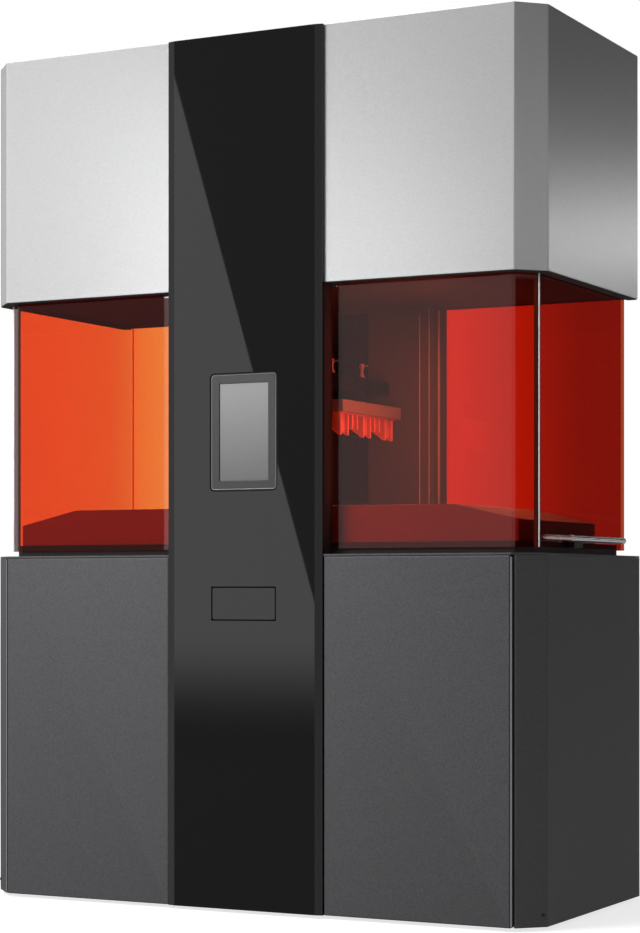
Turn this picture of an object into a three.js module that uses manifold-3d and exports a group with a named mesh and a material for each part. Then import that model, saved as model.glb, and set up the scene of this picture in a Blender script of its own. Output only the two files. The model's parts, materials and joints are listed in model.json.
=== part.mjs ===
// A floor-standing resin printer with a cabinet base, a coloured acrylic print chamber, a hood and a
// full-height control column. Millimetres, +Z up. The origin is on the floor, in the middle of the
// footprint, and the front faces -Y.

import * as THREE from "three";
import { mergeVertices } from "three/addons/utils/BufferGeometryUtils.js";
import Module from "manifold-3d";

const wasm = await Module();
wasm.setup();

// ---------- driving dimensions ----------

const HEIGHT = 1900;
const SKIRT = 8; // the panels stop this far above the floor
const GAP = 0.3; // between pieces that touch
const SHEET = 3; // folded sheet metal

// plan of the base: half-width of the front face, half-width at the sides, front and rear planes
const BASE = { front: 620, side: 678, y0: -309, y1: 303, top: 775 };
const DECK_THICK = 4;

// plan of the hood, and its height range
const HOOD = { front: 624.6, side: 679, y0: -303, y1: 288, z0: 1353, z1: HEIGHT };

// plan of the acrylic windows, measured at their outer face
const PANE = { front: 613.4, side: 651.2, y0: -273, y1: 277, z0: 787, z1: 1400, thick: 8 };
const SASH_Y0 = -231.5;
const GUIDE_TOP = 1890;
const GUIDE_WALL = 1.8;
const GUIDE_PLAY = 0.4;

// control column
const COLUMN_HALF = 190;
const COLUMN_FACE = -315;
const COLUMN_BEVEL = { wide: 17, deep: 4 };
const COLUMN_FRAME_HALF = 188.5;
const COLUMN_FRAME_REAR = -262;
const DISPLAY = { half: 82.5, z0: 912.5, z1: 1167.5, corner: 10 };
const DISPLAY_ACTIVE = { half: 60, z0: 933, z1: 1143 };
const FLAP = { half: 79, z0: 633, z1: 705, corner: 2 };
const FLAP_PIVOT = { y: -312.6, z: 702.5 };
const PORT_FACE = -285; // the face with the sockets, behind the flap
const BUTTON = { x: 45, z: 669 };

// print chamber
const CEILING_Z = 1354;
const REAR_PANE_Y = PANE.y1 - PANE.thick; // inner face of the rear window
const PLINTH_TOP = 799.7;
const BENCH = { half: 615, shoulder: 846, flat: 470, top: 879, y0: -253, y1: 188 };

// build platform, and the tank under it
const PLATFORM = { half: 150, y0: -135, y1: 162, z0: 1091, z1: 1118 };
const PLATFORM_Y = (PLATFORM.y0 + PLATFORM.y1) / 2;
const TANK = { half: 174, y0: -154, y1: 181, z0: 812, wall: 4, rim: 16 };
const RIM_THICK = 4;

// Z axis
const TOWER = { half: 218, front: 190, wall: 6 };
const SCREW = { y: 228, r: 10, z0: 846, z1: 1362 };
const RAIL = { x: 105, half: 10, y0: 250 };
const CARRIAGE = { half: 125, y0: 212, y1: 246, z0: 1115, z1: 1225 };
const HEAD = { half: 125, y0: -130, y1: 150, z0: 1146, z1: 1178 };
const RAIL_T = { stem: 30, head: 45, neck: 1154, top: 1166 };
const KNOBS = { x: 105, front: -101, rear: 49 };

// optics under the tank
const BEAM_Z = 250;
const GALVO = { x: 0, y1: PLATFORM_Y, y2: PLATFORM_Y + 30 };
const LASER_X = -150;
const TRAY_TOP = 36;

// ---------- materials ----------

function finish(color, roughness, metalness) {
  return new THREE.MeshStandardMaterial({ color, roughness, metalness });
}

const silverPaint = finish(0xc2c2c2, 0.45, 0.4);
const greyPaint = finish(0x4c4c4e, 0.5, 0.4);
const blackGloss = finish(0x0c0c0e, 0.08, 0);
const blackPaint = finish(0x1e1c1d, 0.6, 0.1);
const darkCoat = finish(0x3a3436, 0.7, 0.1);
const screenGlass = finish(0x707274, 0.15, 0);
const acrylic = new THREE.MeshStandardMaterial({
  color: 0xd8200c,
  roughness: 0.05,
  transparent: true,
  opacity: 0.45,
});
const aluminium = finish(0xd8dadc, 0.35, 0.9);
const chrome = finish(0xe6e6e8, 0.08, 1);
const steel = finish(0x9a9ca0, 0.35, 0.9);
const zincSheet = finish(0xa4a6a8, 0.5, 0.8);
const moulded = finish(0x202022, 0.6, 0);
const resin = finish(0xf05a2a, 0.4, 0);
const clearGlass = finish(0xd6dee0, 0.05, 0);
const mirrorGlass = finish(0xf0f2f4, 0.02, 1);

// ---------- shape helpers ----------

// a closed body for joining and cutting
function toBody(geometry) {
  const bare = geometry.clone();
  bare.deleteAttribute("normal");
  bare.deleteAttribute("uv");
  const merged = mergeVertices(bare, 1e-4);
  return new wasm.Manifold(
    new wasm.Mesh({
      numProp: 3,
      vertProperties: new Float32Array(merged.attributes.position.array),
      triVerts: new Uint32Array(merged.index.array),
    }),
  );
}

function toGeometry(body) {
  const mesh = body.getMesh();
  const geometry = new THREE.BufferGeometry();
  geometry.setAttribute("position", new THREE.BufferAttribute(mesh.vertProperties, 3));
  geometry.setIndex(new THREE.BufferAttribute(mesh.triVerts, 1));
  geometry.computeVertexNormals();
  return geometry;
}

function join(...geometries) {
  let body = toBody(geometries[0]);
  for (const other of geometries.slice(1)) {
    body = body.add(toBody(other));
  }
  return toGeometry(body);
}

function cut(geometry, ...tools) {
  let body = toBody(geometry);
  for (const tool of tools) {
    body = body.subtract(toBody(tool));
  }
  return toGeometry(body);
}

// a box between two corners
function box(x0, x1, y0, y1, z0, z1) {
  const geometry = new THREE.BoxGeometry(Math.abs(x1 - x0), Math.abs(y1 - y0), Math.abs(z1 - z0));
  return geometry.translate((x0 + x1) / 2, (y0 + y1) / 2, (z0 + z1) / 2);
}

function extrude(shape, length) {
  return new THREE.ExtrudeGeometry(shape, { depth: length, bevelEnabled: false, curveSegments: 4 });
}

function outline(points) {
  return new THREE.Shape(points.map(([a, b]) => new THREE.Vector2(a, b)));
}

// a plan outline (x, y) raised from z0 to z1
function raise(points, z0, z1) {
  return extrude(outline(points), z1 - z0).translate(0, 0, z0);
}

// a front outline (x, z) carried from y0 to y1
function alongY(shape, y0, y1) {
  return extrude(shape, y1 - y0)
    .rotateX(Math.PI / 2)
    .translate(0, y1, 0);
}

// a rectangle with rounded corners, in the front view
function roundedFront(half, z0, z1, r) {
  const shape = new THREE.Shape();
  shape.moveTo(-half + r, z0);
  shape.lineTo(half - r, z0);
  shape.absarc(half - r, z0 + r, r, -Math.PI / 2, 0);
  shape.lineTo(half, z1 - r);
  shape.absarc(half - r, z1 - r, r, 0, Math.PI / 2);
  shape.lineTo(-half + r, z1);
  shape.absarc(-half + r, z1 - r, r, Math.PI / 2, Math.PI);
  shape.lineTo(-half, z0 + r);
  shape.absarc(-half + r, z0 + r, r, Math.PI, Math.PI * 1.5);
  return shape;
}

// an upright round bar
function bar(x, y, r, z0, z1, sides = 16) {
  return new THREE.CylinderGeometry(r, r, z1 - z0, sides)
    .rotateX(Math.PI / 2)
    .translate(x, y, (z0 + z1) / 2);
}

function barAlongX(y, z, r, x0, x1, sides = 12) {
  return new THREE.CylinderGeometry(r, r, x1 - x0, sides)
    .rotateZ(Math.PI / 2)
    .translate((x0 + x1) / 2, y, z);
}

function barAlongY(x, z, r, y0, y1, sides = 16) {
  return new THREE.CylinderGeometry(r, r, y1 - y0, sides).translate(x, (y0 + y1) / 2, z);
}

// a turned piece about an upright axis, from [radius, height] pairs
function turned(profile, x, y, sides = 16) {
  const points = profile.map(([r, z]) => new THREE.Vector2(r, z));
  return new THREE.LatheGeometry(points, sides).rotateX(Math.PI / 2).translate(x, y, 0);
}

function mirrored(points, side) {
  return points.map(([x, y]) => [x * side, y]);
}

const printer = new THREE.Group();

function assembly(name) {
  const group = new THREE.Group();
  group.name = name;
  printer.add(group);
  return group;
}

function add(group, name, geometry, material) {
  const mesh = new THREE.Mesh(geometry, material);
  mesh.name = name;
  group.add(mesh);
  return mesh;
}

const SIDES = [
  ["left", -1],
  ["right", 1],
];

// ---------- base cabinet ----------

const base = assembly("base");

// floor tray on four levelling feet
function baseFrame() {
  const y0 = COLUMN_FRAME_REAR + 1;
  const x1 = BASE.side - SHEET - 1.3;
  const chamferX = x1 - 12;
  const plan = [
    [-chamferX, y0],
    [chamferX, y0],
    [x1, y0 + 12],
    [x1, BASE.y1 - SHEET - GAP],
    [-x1, BASE.y1 - SHEET - GAP],
    [-x1, y0 + 12],
  ];
  const foot = [
    [0, 0],
    [32, 0],
    [32, 6],
    [12, 12],
    [9, 12],
    [9, TRAY_TOP - 3],
    [0, TRAY_TOP - 3],
  ];
  const feet = [];
  for (const x of [-560, 560]) {
    for (const y of [-200, 230]) {
      feet.push(turned(foot, x, y, 20));
    }
  }
  return join(raise(plan, TRAY_TOP - 6, TRAY_TOP), ...feet);
}
add(base, "base_frame", baseFrame(), blackPaint);

const DOOR_TOP = BASE.top - DECK_THICK - GAP;
const DOOR_PIVOT = { x: BASE.front + 0.6, y: BASE.y0 + 1.6 };
const SEAM = 2; // from the hinge pin's axis to the sheet edge on each side of it

// side of the base: one folded sheet with the front chamfer, and a return that carries the hinge
function basePanel(side) {
  const edge = DOOR_PIVOT.x + SEAM;
  const chamfer = BASE.front - BASE.y0; // x - y along the chamfer's outer face
  const inner = chamfer - SHEET * Math.SQRT2;
  const innerX = BASE.side - SHEET;
  const plan = [
    [edge, edge - chamfer],
    [BASE.side, BASE.side - chamfer],
    [BASE.side, BASE.y1],
    [innerX, BASE.y1],
    [innerX, innerX - inner],
    [edge + SHEET, edge + SHEET - inner],
    [edge + SHEET, BASE.y0 + 20],
    [edge, BASE.y0 + 20],
  ];
  return raise(mirrored(plan, side), SKIRT, DOOR_TOP);
}

// service door: a shallow pan, open at the back
function baseDoor(side) {
  const x0 = side * (COLUMN_HALF + 1.5);
  const x1 = side * (DOOR_PIVOT.x - SEAM);
  const back = BASE.y0 + 21;
  const pan = box(x0, x1, BASE.y0, back, SKIRT, DOOR_TOP);
  const hollow = box(
    x0 + side * SHEET,
    x1 - side * SHEET,
    BASE.y0 + SHEET,
    back + 1,
    SKIRT + SHEET,
    DOOR_TOP - SHEET,
  );
  return cut(pan, hollow);
}

// continuous hinge: the pin in the seam, and its leaf on the side panel's return
function doorHinge(side) {
  const pin = bar(side * DOOR_PIVOT.x, DOOR_PIVOT.y, 1.4, SKIRT + 4, DOOR_TOP - 4, 8);
  const leaf = box(
    side * (DOOR_PIVOT.x - 0.2),
    side * (DOOR_PIVOT.x + SEAM - GAP),
    DOOR_PIVOT.y,
    BASE.y0 + 19,
    SKIRT + 4,
    DOOR_TOP - 4,
  );
  return join(pin, leaf);
}

for (const [word, side] of SIDES) {
  add(base, `base_${word}_panel`, basePanel(side), greyPaint);
  add(base, `base_${word}_door`, baseDoor(side), greyPaint);
  add(base, `${word}_door_hinge`, doorHinge(side), steel);
}

const INLET = { x0: 392, x1: 468, z0: 120, z1: 180 };

function baseRearPanel() {
  const x1 = BASE.side - SHEET - GAP;
  const panel = box(-x1, x1, BASE.y1 - SHEET, BASE.y1, SKIRT, DOOR_TOP);
  const inlet = box(INLET.x0 - 1, INLET.x1 + 1, 290, 310, INLET.z0 - 1, INLET.z1 + 1);
  const vents = [];
  for (let row = 0; row < 6; row += 1) {
    const z = 560 + row * 24;
    vents.push(box(-480, -240, 290, 310, z, z + 8));
  }
  return cut(panel, inlet, ...vents);
}
add(base, "base_rear_panel", baseRearPanel(), greyPaint);

// top of the base, notched for the column and open where the laser light goes up
function deck() {
  const notch = COLUMN_HALF + 0.6;
  const notchY = COLUMN_FRAME_REAR + 0.5;
  const plan = [
    [notch, BASE.y0],
    [BASE.front, BASE.y0],
    [BASE.side, BASE.y0 + BASE.side - BASE.front],
    [BASE.side, BASE.y1],
    [-BASE.side, BASE.y1],
    [-BASE.side, BASE.y0 + BASE.side - BASE.front],
    [-BASE.front, BASE.y0],
    [-notch, BASE.y0],
    [-notch, notchY],
    [notch, notchY],
  ];
  const aperture = box(-146, 146, PLATFORM_Y - 146, PLATFORM_Y + 146, 760, 790);
  return cut(raise(plan, BASE.top - DECK_THICK, BASE.top), aperture);
}
add(base, "base_deck", deck(), greyPaint);

// mains inlet box: the flange is outside the rear panel, with a lead socket and a switch pocket
const SOCKET = { x0: 398, x1: 424, z0: 140, z1: 158 };
const ROCKER = { x0: 443, x1: 457, y: 310, z: 150 };

function mainsInlet() {
  const body = box(INLET.x0, INLET.x1, 275, 304, INLET.z0, INLET.z1);
  const flange = box(INLET.x0 - 8, INLET.x1 + 8, BASE.y1 + GAP, 315, INLET.z0 - 8, INLET.z1 + 8);
  const socket = box(SOCKET.x0, SOCKET.x1, 295, 316, SOCKET.z0, SOCKET.z1);
  const pocket = box(ROCKER.x0 - 0.6, ROCKER.x1 + 0.6, 303, 316, 137, 163);
  return cut(join(body, flange), socket, pocket);
}
add(base, "mains_inlet", mainsInlet(), moulded);

function mainSwitch() {
  const rocker = new THREE.BoxGeometry(ROCKER.x1 - ROCKER.x0, 6, 22);
  rocker.rotateX(THREE.MathUtils.degToRad(-6));
  return rocker.translate((ROCKER.x0 + ROCKER.x1) / 2, ROCKER.y, ROCKER.z);
}
add(base, "main_switch", mainSwitch(), moulded);

// folded sheet enclosure with a cable opening low in its front
function enclosure(x0, x1, y0, y1, z0, z1) {
  const wall = 1.5;
  const inside = box(x0 + wall, x1 - wall, y0 + wall, y1 - wall, z0 + wall, z1 - wall);
  const middle = (x0 + x1) / 2;
  const cable = box(middle - 40, middle + 40, y0 - 1, y0 + wall + 1, z0 + 15, z0 + 50);
  return cut(box(x0, x1, y0, y1, z0, z1), inside, cable);
}

// power supply on the floor tray
add(base, "power_supply", enclosure(-600, -400, 150, 290, TRAY_TOP + GAP, 170), zincSheet);

// resin cartridge, standing in its dock behind the right door
const CARTRIDGE = { x0: 360, x1: 480, y0: -240, y1: -90, z0: 44, z1: 330 };

function cartridgeDock() {
  const play = 0.6;
  const { x0, x1, y0, y1, z0 } = CARTRIDGE;
  const shell = box(x0 - 6, x1 + 6, y0 - 6, y1 + 6, TRAY_TOP + GAP, 130);
  return cut(shell, box(x0 - play, x1 + play, y0 - play, y1 + play, z0 - GAP, 140));
}
add(base, "cartridge_dock", cartridgeDock(), moulded);

function cartridge() {
  const { x0, x1, y0, y1, z0, z1 } = CARTRIDGE;
  const body = box(x0, x1, y0, y1, z0, z1 - 40);
  const neck = box(x0 + 30, x1 - 30, y0 + 40, y1 - 40, z1 - 41, z1);
  return join(body, neck);
}
add(base, "resin_cartridge", cartridge(), moulded);

// ---------- optics ----------

const optics = assembly("optics");

// laser on its pedestal, firing along +Y
function laserModule() {
  const body = box(LASER_X - 35, LASER_X + 35, -230, 0, BEAM_Z - 40, BEAM_Z + 40);
  const pedestal = box(LASER_X - 25, LASER_X + 25, -200, -30, TRAY_TOP + GAP, BEAM_Z - 39);
  const aperture = barAlongY(LASER_X, BEAM_Z, 6, -12, 1);
  return cut(join(body, pedestal), aperture);
}
add(optics, "laser_module", laserModule(), aluminium);

// mirror that turns the beam from +Y to +X
function foldMirror() {
  const plate = new THREE.BoxGeometry(50, 6, 44);
  plate.rotateZ(Math.PI / 4).translate(LASER_X - 3, GALVO.y2 + 3, BEAM_Z);
  const post = box(LASER_X - 18, LASER_X + 12, GALVO.y2 - 8, GALVO.y2 + 22, TRAY_TOP + GAP, BEAM_Z - 20);
  return join(plate, post);
}
add(optics, "fold_mirror", foldMirror(), mirrorGlass);

// block that holds the two scanner motors, one upright and one along X
function galvoBlock() {
  const pedestal = box(-40, 90, PLATFORM_Y - 40, PLATFORM_Y + 70, TRAY_TOP + GAP, 180);
  const motor1 = bar(GALVO.x, GALVO.y2, 12, 179, BEAM_Z - 20);
  const wall = box(40, 70, PLATFORM_Y - 25, PLATFORM_Y + 25, 179, BEAM_Z + 24);
  const motor2 = barAlongX(GALVO.y1, BEAM_Z, 12, 24, 41, 16);
  return join(pedestal, motor1, wall, motor2);
}
add(optics, "galvo_block", galvoBlock(), aluminium);

function firstScanMirror() {
  const plate = new THREE.BoxGeometry(24, 3, 26);
  plate.rotateZ(-Math.PI / 4).translate(GALVO.x, GALVO.y2, BEAM_Z);
  return join(plate, bar(GALVO.x, GALVO.y2, 3, BEAM_Z - 20 + GAP, BEAM_Z - 12, 10));
}
add(optics, "scan_mirror_x", firstScanMirror(), mirrorGlass);

function secondScanMirror() {
  const plate = new THREE.BoxGeometry(26, 3, 22);
  plate.rotateX(-Math.PI / 4).translate(GALVO.x, GALVO.y1, BEAM_Z);
  return join(plate, barAlongX(GALVO.y1, BEAM_Z, 3, 12, 24 - GAP, 10));
}
add(optics, "scan_mirror_y", secondScanMirror(), mirrorGlass);

// ---------- control column ----------

const column = assembly("column");

// box-section post from floor to top, open behind the display and the flap
function columnFrame() {
  const half = COLUMN_FRAME_HALF;
  const front = HOOD.y0;
  const post = box(-half, half, front, COLUMN_FRAME_REAR, SKIRT, HEIGHT - 4 - GAP);
  const inside = box(
    -half + SHEET,
    half - SHEET,
    front + SHEET,
    COLUMN_FRAME_REAR - SHEET,
    0,
    HEIGHT,
  );
  const displayHole = box(-78, 78, front - 1, front + 10, 918, 1162);
  const portHole = box(-78, 78, front - 1, front + 10, 634, 704);
  return cut(post, inside, displayHole, portHole);
}
add(column, "column_frame", columnFrame(), blackPaint);

// gloss front with bevelled long edges
function columnPanel() {
  const rear = HOOD.y0 - GAP;
  const bevelY = COLUMN_FACE + COLUMN_BEVEL.deep;
  const flat = COLUMN_HALF - COLUMN_BEVEL.wide;
  const plan = [
    [-COLUMN_HALF, rear],
    [-COLUMN_HALF, bevelY],
    [-flat, COLUMN_FACE],
    [flat, COLUMN_FACE],
    [COLUMN_HALF, bevelY],
    [COLUMN_HALF, rear],
  ];
  const play = 0.6;
  const displayHole = roundedFront(
    DISPLAY.half + play,
    DISPLAY.z0 - play,
    DISPLAY.z1 + play,
    DISPLAY.corner + play,
  );
  const flapHole = roundedFront(FLAP.half + 0.8, FLAP.z0 - 0.8, FLAP.z1 + 1.2, 1);
  const trunnionHole = barAlongX(FLAP_PIVOT.y, FLAP_PIVOT.z, 1.6, -FLAP.half - 3, FLAP.half + 3, 10);
  return cut(
    raise(plan, SKIRT, HEIGHT),
    alongY(displayHole, -320, -300),
    alongY(flapHole, -320, -300),
    trunnionHole,
  );
}
add(column, "column_panel", columnPanel(), blackGloss);

function displayBezel() {
  const plate = roundedFront(DISPLAY.half, DISPLAY.z0, DISPLAY.z1, DISPLAY.corner);
  const view = box(
    -DISPLAY_ACTIVE.half,
    DISPLAY_ACTIVE.half,
    -320,
    -300,
    DISPLAY_ACTIVE.z0,
    DISPLAY_ACTIVE.z1,
  );
  return cut(alongY(plate, COLUMN_FACE + 0.4, COLUMN_FACE + 3), view);
}
add(column, "display_bezel", displayBezel(), moulded);
add(
  column,
  "display_screen",
  box(-76, 76, COLUMN_FACE + 3 + GAP, COLUMN_FACE + 11, DISPLAY.z0 + 8, DISPLAY.z1 - 8),
  screenGlass,
);

// flap on two short trunnions at its top edge
function flap() {
  const plate = roundedFront(FLAP.half, FLAP.z0, FLAP.z1, FLAP.corner);
  const reach = FLAP.half + 2;
  const trunnions = barAlongX(FLAP_PIVOT.y, FLAP_PIVOT.z, 1.2, -reach, reach, 10);
  return join(alongY(plate, COLUMN_FACE + 0.4, COLUMN_FACE + 4.4), trunnions);
}
add(column, "port_flap", flap(), blackGloss);

// open box behind the flap, with two data sockets and a hole for the power button
const PORT_SOCKETS_X = [-52, -24];
const PORT_SOCKET = { wide: 14, high: 6.6, deep: 12 };

function portBox() {
  const shell = box(-77, 77, -308.5, -270, 635, 703);
  const room = box(-75, 75, -311, PORT_FACE, 637, 701);
  const sockets = PORT_SOCKETS_X.map((x) =>
    box(
      x,
      x + PORT_SOCKET.wide,
      PORT_FACE - 1,
      PORT_FACE + PORT_SOCKET.deep,
      BUTTON.z - PORT_SOCKET.high / 2,
      BUTTON.z + PORT_SOCKET.high / 2,
    ),
  );
  const buttonHole = barAlongY(BUTTON.x, BUTTON.z, 6.4, PORT_FACE - 1, PORT_FACE + 11);
  return cut(shell, room, ...sockets, buttonHole);
}
add(column, "port_box", portBox(), moulded);

function powerButton() {
  const cap = barAlongY(BUTTON.x, BUTTON.z, 8.5, PORT_FACE - 6, PORT_FACE - 2.6, 20);
  const stem = barAlongY(BUTTON.x, BUTTON.z, 6, PORT_FACE - 3, PORT_FACE + 8);
  return join(cap, stem);
}
add(column, "power_button", powerButton(), aluminium);

// ---------- hood ----------

const hood = assembly("hood");

// plan line of a chamfered shell side at an inset from the hood's outer face
function hoodLine(inset) {
  const chamfer = HOOD.front - HOOD.y0 - inset * Math.SQRT2;
  const x1 = HOOD.side - inset;
  const y0 = HOOD.y0 + inset;
  return [
    [chamfer + y0, y0],
    [x1, x1 - chamfer],
  ];
}

const HOOD_SKIN_REAR = HOOD.y1 - SHEET - GAP;

// half of the hood: front, chamfer and side folded from one sheet, with a lip under it
function hoodSkin(side) {
  const start = COLUMN_HALF + 0.5;
  const outer = hoodLine(0);
  const inner = hoodLine(SHEET);
  const wall = [
    [start, HOOD.y0],
    ...outer,
    [HOOD.side, HOOD_SKIN_REAR],
    [HOOD.side - SHEET, HOOD_SKIN_REAR],
    [inner[1][0], inner[1][1]],
    [inner[0][0], inner[0][1]],
    [start, HOOD.y0 + SHEET],
  ];
  const lipY = PANE.y0 - 2.5;
  const lipX = PANE.side + 3;
  const paneChamfer = PANE.front - PANE.y0 + 3.5;
  const lip = [
    [start, HOOD.y0],
    ...outer,
    [HOOD.side, HOOD_SKIN_REAR],
    [lipX, HOOD_SKIN_REAR],
    [lipX, lipX - paneChamfer],
    [lipY + paneChamfer, lipY],
    [start, lipY],
  ];
  return join(
    raise(mirrored(wall, side), HOOD.z0, HOOD.z1),
    raise(mirrored(lip, side), HOOD.z0, HOOD.z0 + SHEET),
  );
}
for (const [word, side] of SIDES) {
  add(hood, `hood_${word}_shell`, hoodSkin(side), silverPaint);
}

function hoodTop() {
  const line = hoodLine(SHEET + GAP);
  const rear = HOOD_SKIN_REAR;
  const plan = [
    ...line,
    [line[1][0], rear],
    [-line[1][0], rear],
    [-line[1][0], line[1][1]],
    [-line[0][0], line[0][1]],
  ];
  return raise(plan, HOOD.z1 - 4, HOOD.z1);
}
add(hood, "hood_top", hoodTop(), silverPaint);

// frame inside the hood's rear, with a channel at each end for a raised sash's rear edge
const CHANNEL_ROOT = 638;

function hoodFrame() {
  const y0 = PANE.y1 + 1;
  const y1 = y0 + 4;
  const top = HEIGHT - 4 - GAP;
  const legZ0 = PANE.z1 + 0.6;
  const legIn = PANE.side - PANE.thick - GUIDE_PLAY;
  const legOut = PANE.side + GUIDE_PLAY;
  const parts = [box(-CHANNEL_ROOT, CHANNEL_ROOT, y0, y1, HOOD.z0 + GAP, top)];
  for (const side of [-1, 1]) {
    const outside = side * (legOut + GUIDE_WALL);
    parts.push(box(side * (CHANNEL_ROOT - 2), side * legIn, y0 - 16, y1, legZ0, top));
    parts.push(box(side * legOut, outside, y0 - 16, y1, legZ0, top));
    parts.push(box(side * (CHANNEL_ROOT - 2), outside, y0, y1, legZ0, top));
  }
  const windows = [-1, 1].map((side) =>
    box(side * 80, side * 600, y0 - 5, y1 + 5, CEILING_Z + 60, HEIGHT - 50),
  );
  return cut(join(...parts), ...windows);
}
add(hood, "hood_frame", hoodFrame(), zincSheet);

const FAN = { x: 350, z: 1700, r: 60 };

function hoodRearPanel() {
  const panel = box(-HOOD.side, HOOD.side, HOOD.y1 - SHEET, HOOD.y1, HOOD.z0, HOOD.z1);
  const fanHole = barAlongY(FAN.x, FAN.z, FAN.r, HOOD.y1 - 10, HOOD.y1 + 10, 28);
  const vents = [];
  for (let row = 0; row < 8; row += 1) {
    const z = 1620 + row * 20;
    vents.push(box(-460, -240, HOOD.y1 - 10, HOOD.y1 + 10, z, z + 8));
  }
  return cut(panel, fanHole, ...vents);
}
add(hood, "hood_rear_panel", hoodRearPanel(), silverPaint);

// exhaust fan: square frame with its motor boss on four arms
const FAN_REAR = HOOD.y1 - SHEET - GAP;

function fanFrame() {
  const half = FAN.r + 6;
  const frame = box(FAN.x - half, FAN.x + half, FAN_REAR - 28, FAN_REAR, FAN.z - half, FAN.z + half);
  const hole = barAlongY(FAN.x, FAN.z, FAN.r, FAN_REAR - 40, FAN_REAR + 10, 28);
  const armAcross = box(FAN.x - half + 1, FAN.x + half - 1, FAN_REAR - 4, FAN_REAR, FAN.z - 3, FAN.z + 3);
  const armUp = box(FAN.x - 3, FAN.x + 3, FAN_REAR - 4, FAN_REAR, FAN.z - half + 1, FAN.z + half - 1);
  const boss = barAlongY(FAN.x, FAN.z, 19, FAN_REAR - 8, FAN_REAR);
  return join(cut(frame, hole), armAcross, armUp, boss);
}
add(hood, "fan_frame", fanFrame(), moulded);

function fanRotor() {
  const blades = [];
  const count = 7;
  for (let i = 0; i < count; i += 1) {
    const blade = new THREE.BoxGeometry(2.4, 22, 40);
    blade.rotateZ(THREE.MathUtils.degToRad(38)).translate(0, 0, 36);
    blade.rotateY((i / count) * Math.PI * 2).translate(FAN.x, FAN_REAR - 18.5, FAN.z);
    blades.push(blade);
  }
  return join(barAlongY(FAN.x, FAN.z, 20, FAN_REAR - 27, FAN_REAR - 8.6), ...blades);
}
add(hood, "fan_rotor", fanRotor(), moulded);

// control electronics, on top of the chamber
add(hood, "control_box", enclosure(-500, -220, 90, 265, CEILING_Z + SHEET + GAP, 1600), zincSheet);

// ---------- print chamber ----------

const chamber = assembly("chamber");

// plan line of the chamfered corner at an inset from the windows' outer face
function paneLine(inset) {
  const chamfer = PANE.front - PANE.y0 - inset * Math.SQRT2;
  const x1 = PANE.side - inset;
  const y0 = PANE.y0 + inset;
  return [
    [chamfer + y0, y0],
    [x1, x1 - chamfer],
  ];
}

// frame under the windows: a ring, with a tongue that carries the tower
function plinth() {
  const outer = paneLine(PANE.thick + GUIDE_WALL + GUIDE_PLAY + GAP);
  const inner = paneLine(PANE.thick + 16);
  const half = [
    ...outer,
    [outer[1][0], 256],
    [230, 256],
    [230, REAR_PANE_Y - GAP],
  ];
  const plan = [...half, ...mirrored(half, -1).reverse()];
  const hollow = box(-inner[1][0] + 8, inner[1][0] - 8, -225, 170, 770, 810);
  const frontHollow = box(-inner[0][0], inner[0][0], inner[0][1] + 14, -224, 770, 810);
  const notch = box(-COLUMN_HALF, COLUMN_HALF, -300, COLUMN_FRAME_REAR + 0.5, 770, 810);
  return cut(raise(plan, BASE.top + GAP, PLINTH_TOP), hollow, frontHollow, notch);
}
add(chamber, "plinth", plinth(), blackPaint);

// bench: a folded cover with sloped shoulders and a hole that the tank hangs in
function bench() {
  const profile = (inset, floor) =>
    outline([
      [-BENCH.half + inset, floor],
      [-BENCH.half + inset, BENCH.shoulder - inset],
      [-BENCH.flat, BENCH.top - inset],
      [BENCH.flat, BENCH.top - inset],
      [BENCH.half - inset, BENCH.shoulder - inset],
      [BENCH.half - inset, floor],
    ]);
  const cover = alongY(profile(0, PLINTH_TOP + GAP), BENCH.y0, BENCH.y1);
  const inside = alongY(profile(SHEET, PLINTH_TOP - 10), BENCH.y0 + SHEET, BENCH.y1 - SHEET);
  const play = 1.5;
  const tankHole = box(
    -TANK.half - play,
    TANK.half + play,
    TANK.y0 - play,
    TANK.y1 + play,
    BENCH.top - 10,
    BENCH.top + 10,
  );
  return cut(cover, inside, tankHole);
}
add(chamber, "bench", bench(), darkCoat);

// rear window, one sheet between the two side panes
function rearWindow() {
  const x1 = PANE.side - PANE.thick - GAP;
  return box(-x1, x1, REAR_PANE_Y, PANE.y1, PANE.z0, PANE.z1);
}
add(chamber, "rear_window", rearWindow(), acrylic);

function chamberCeiling() {
  const x1 = CHANNEL_ROOT - 0.5;
  const y0 = COLUMN_FRAME_REAR + 0.5;
  const y1 = REAR_PANE_Y - GAP;
  const line = paneLine(PANE.thick + 1);
  const chamfer = line[0][0] - line[0][1];
  const plan = [
    [chamfer + y0, y0],
    [x1, x1 - chamfer],
    [x1, y1],
    [-x1, y1],
    [-x1, x1 - chamfer],
    [-chamfer - y0, y0],
  ];
  const screwHole = bar(0, SCREW.y, 20, CEILING_Z - 5, CEILING_Z + 10, 20);
  return cut(raise(plan, CEILING_Z, CEILING_Z + SHEET), screwHole);
}
add(chamber, "chamber_ceiling", chamberCeiling(), darkCoat);

// fixed window: one acrylic sheet, folded at the corner
function frontWindow(side) {
  const start = COLUMN_HALF + 0.6;
  const end = SASH_Y0 - 4; // in front of the guide
  const outer = paneLine(0);
  const inner = paneLine(PANE.thick);
  const outerEnd = outer[0][0] - outer[0][1] + end;
  const innerEnd = inner[0][0] - inner[0][1] + end;
  const plan = [
    [start, PANE.y0],
    outer[0],
    [outerEnd, end],
    [innerEnd, end],
    inner[0],
    [start, PANE.y0 + PANE.thick],
  ];
  return raise(mirrored(plan, side), PANE.z0, PANE.z1);
}

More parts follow.
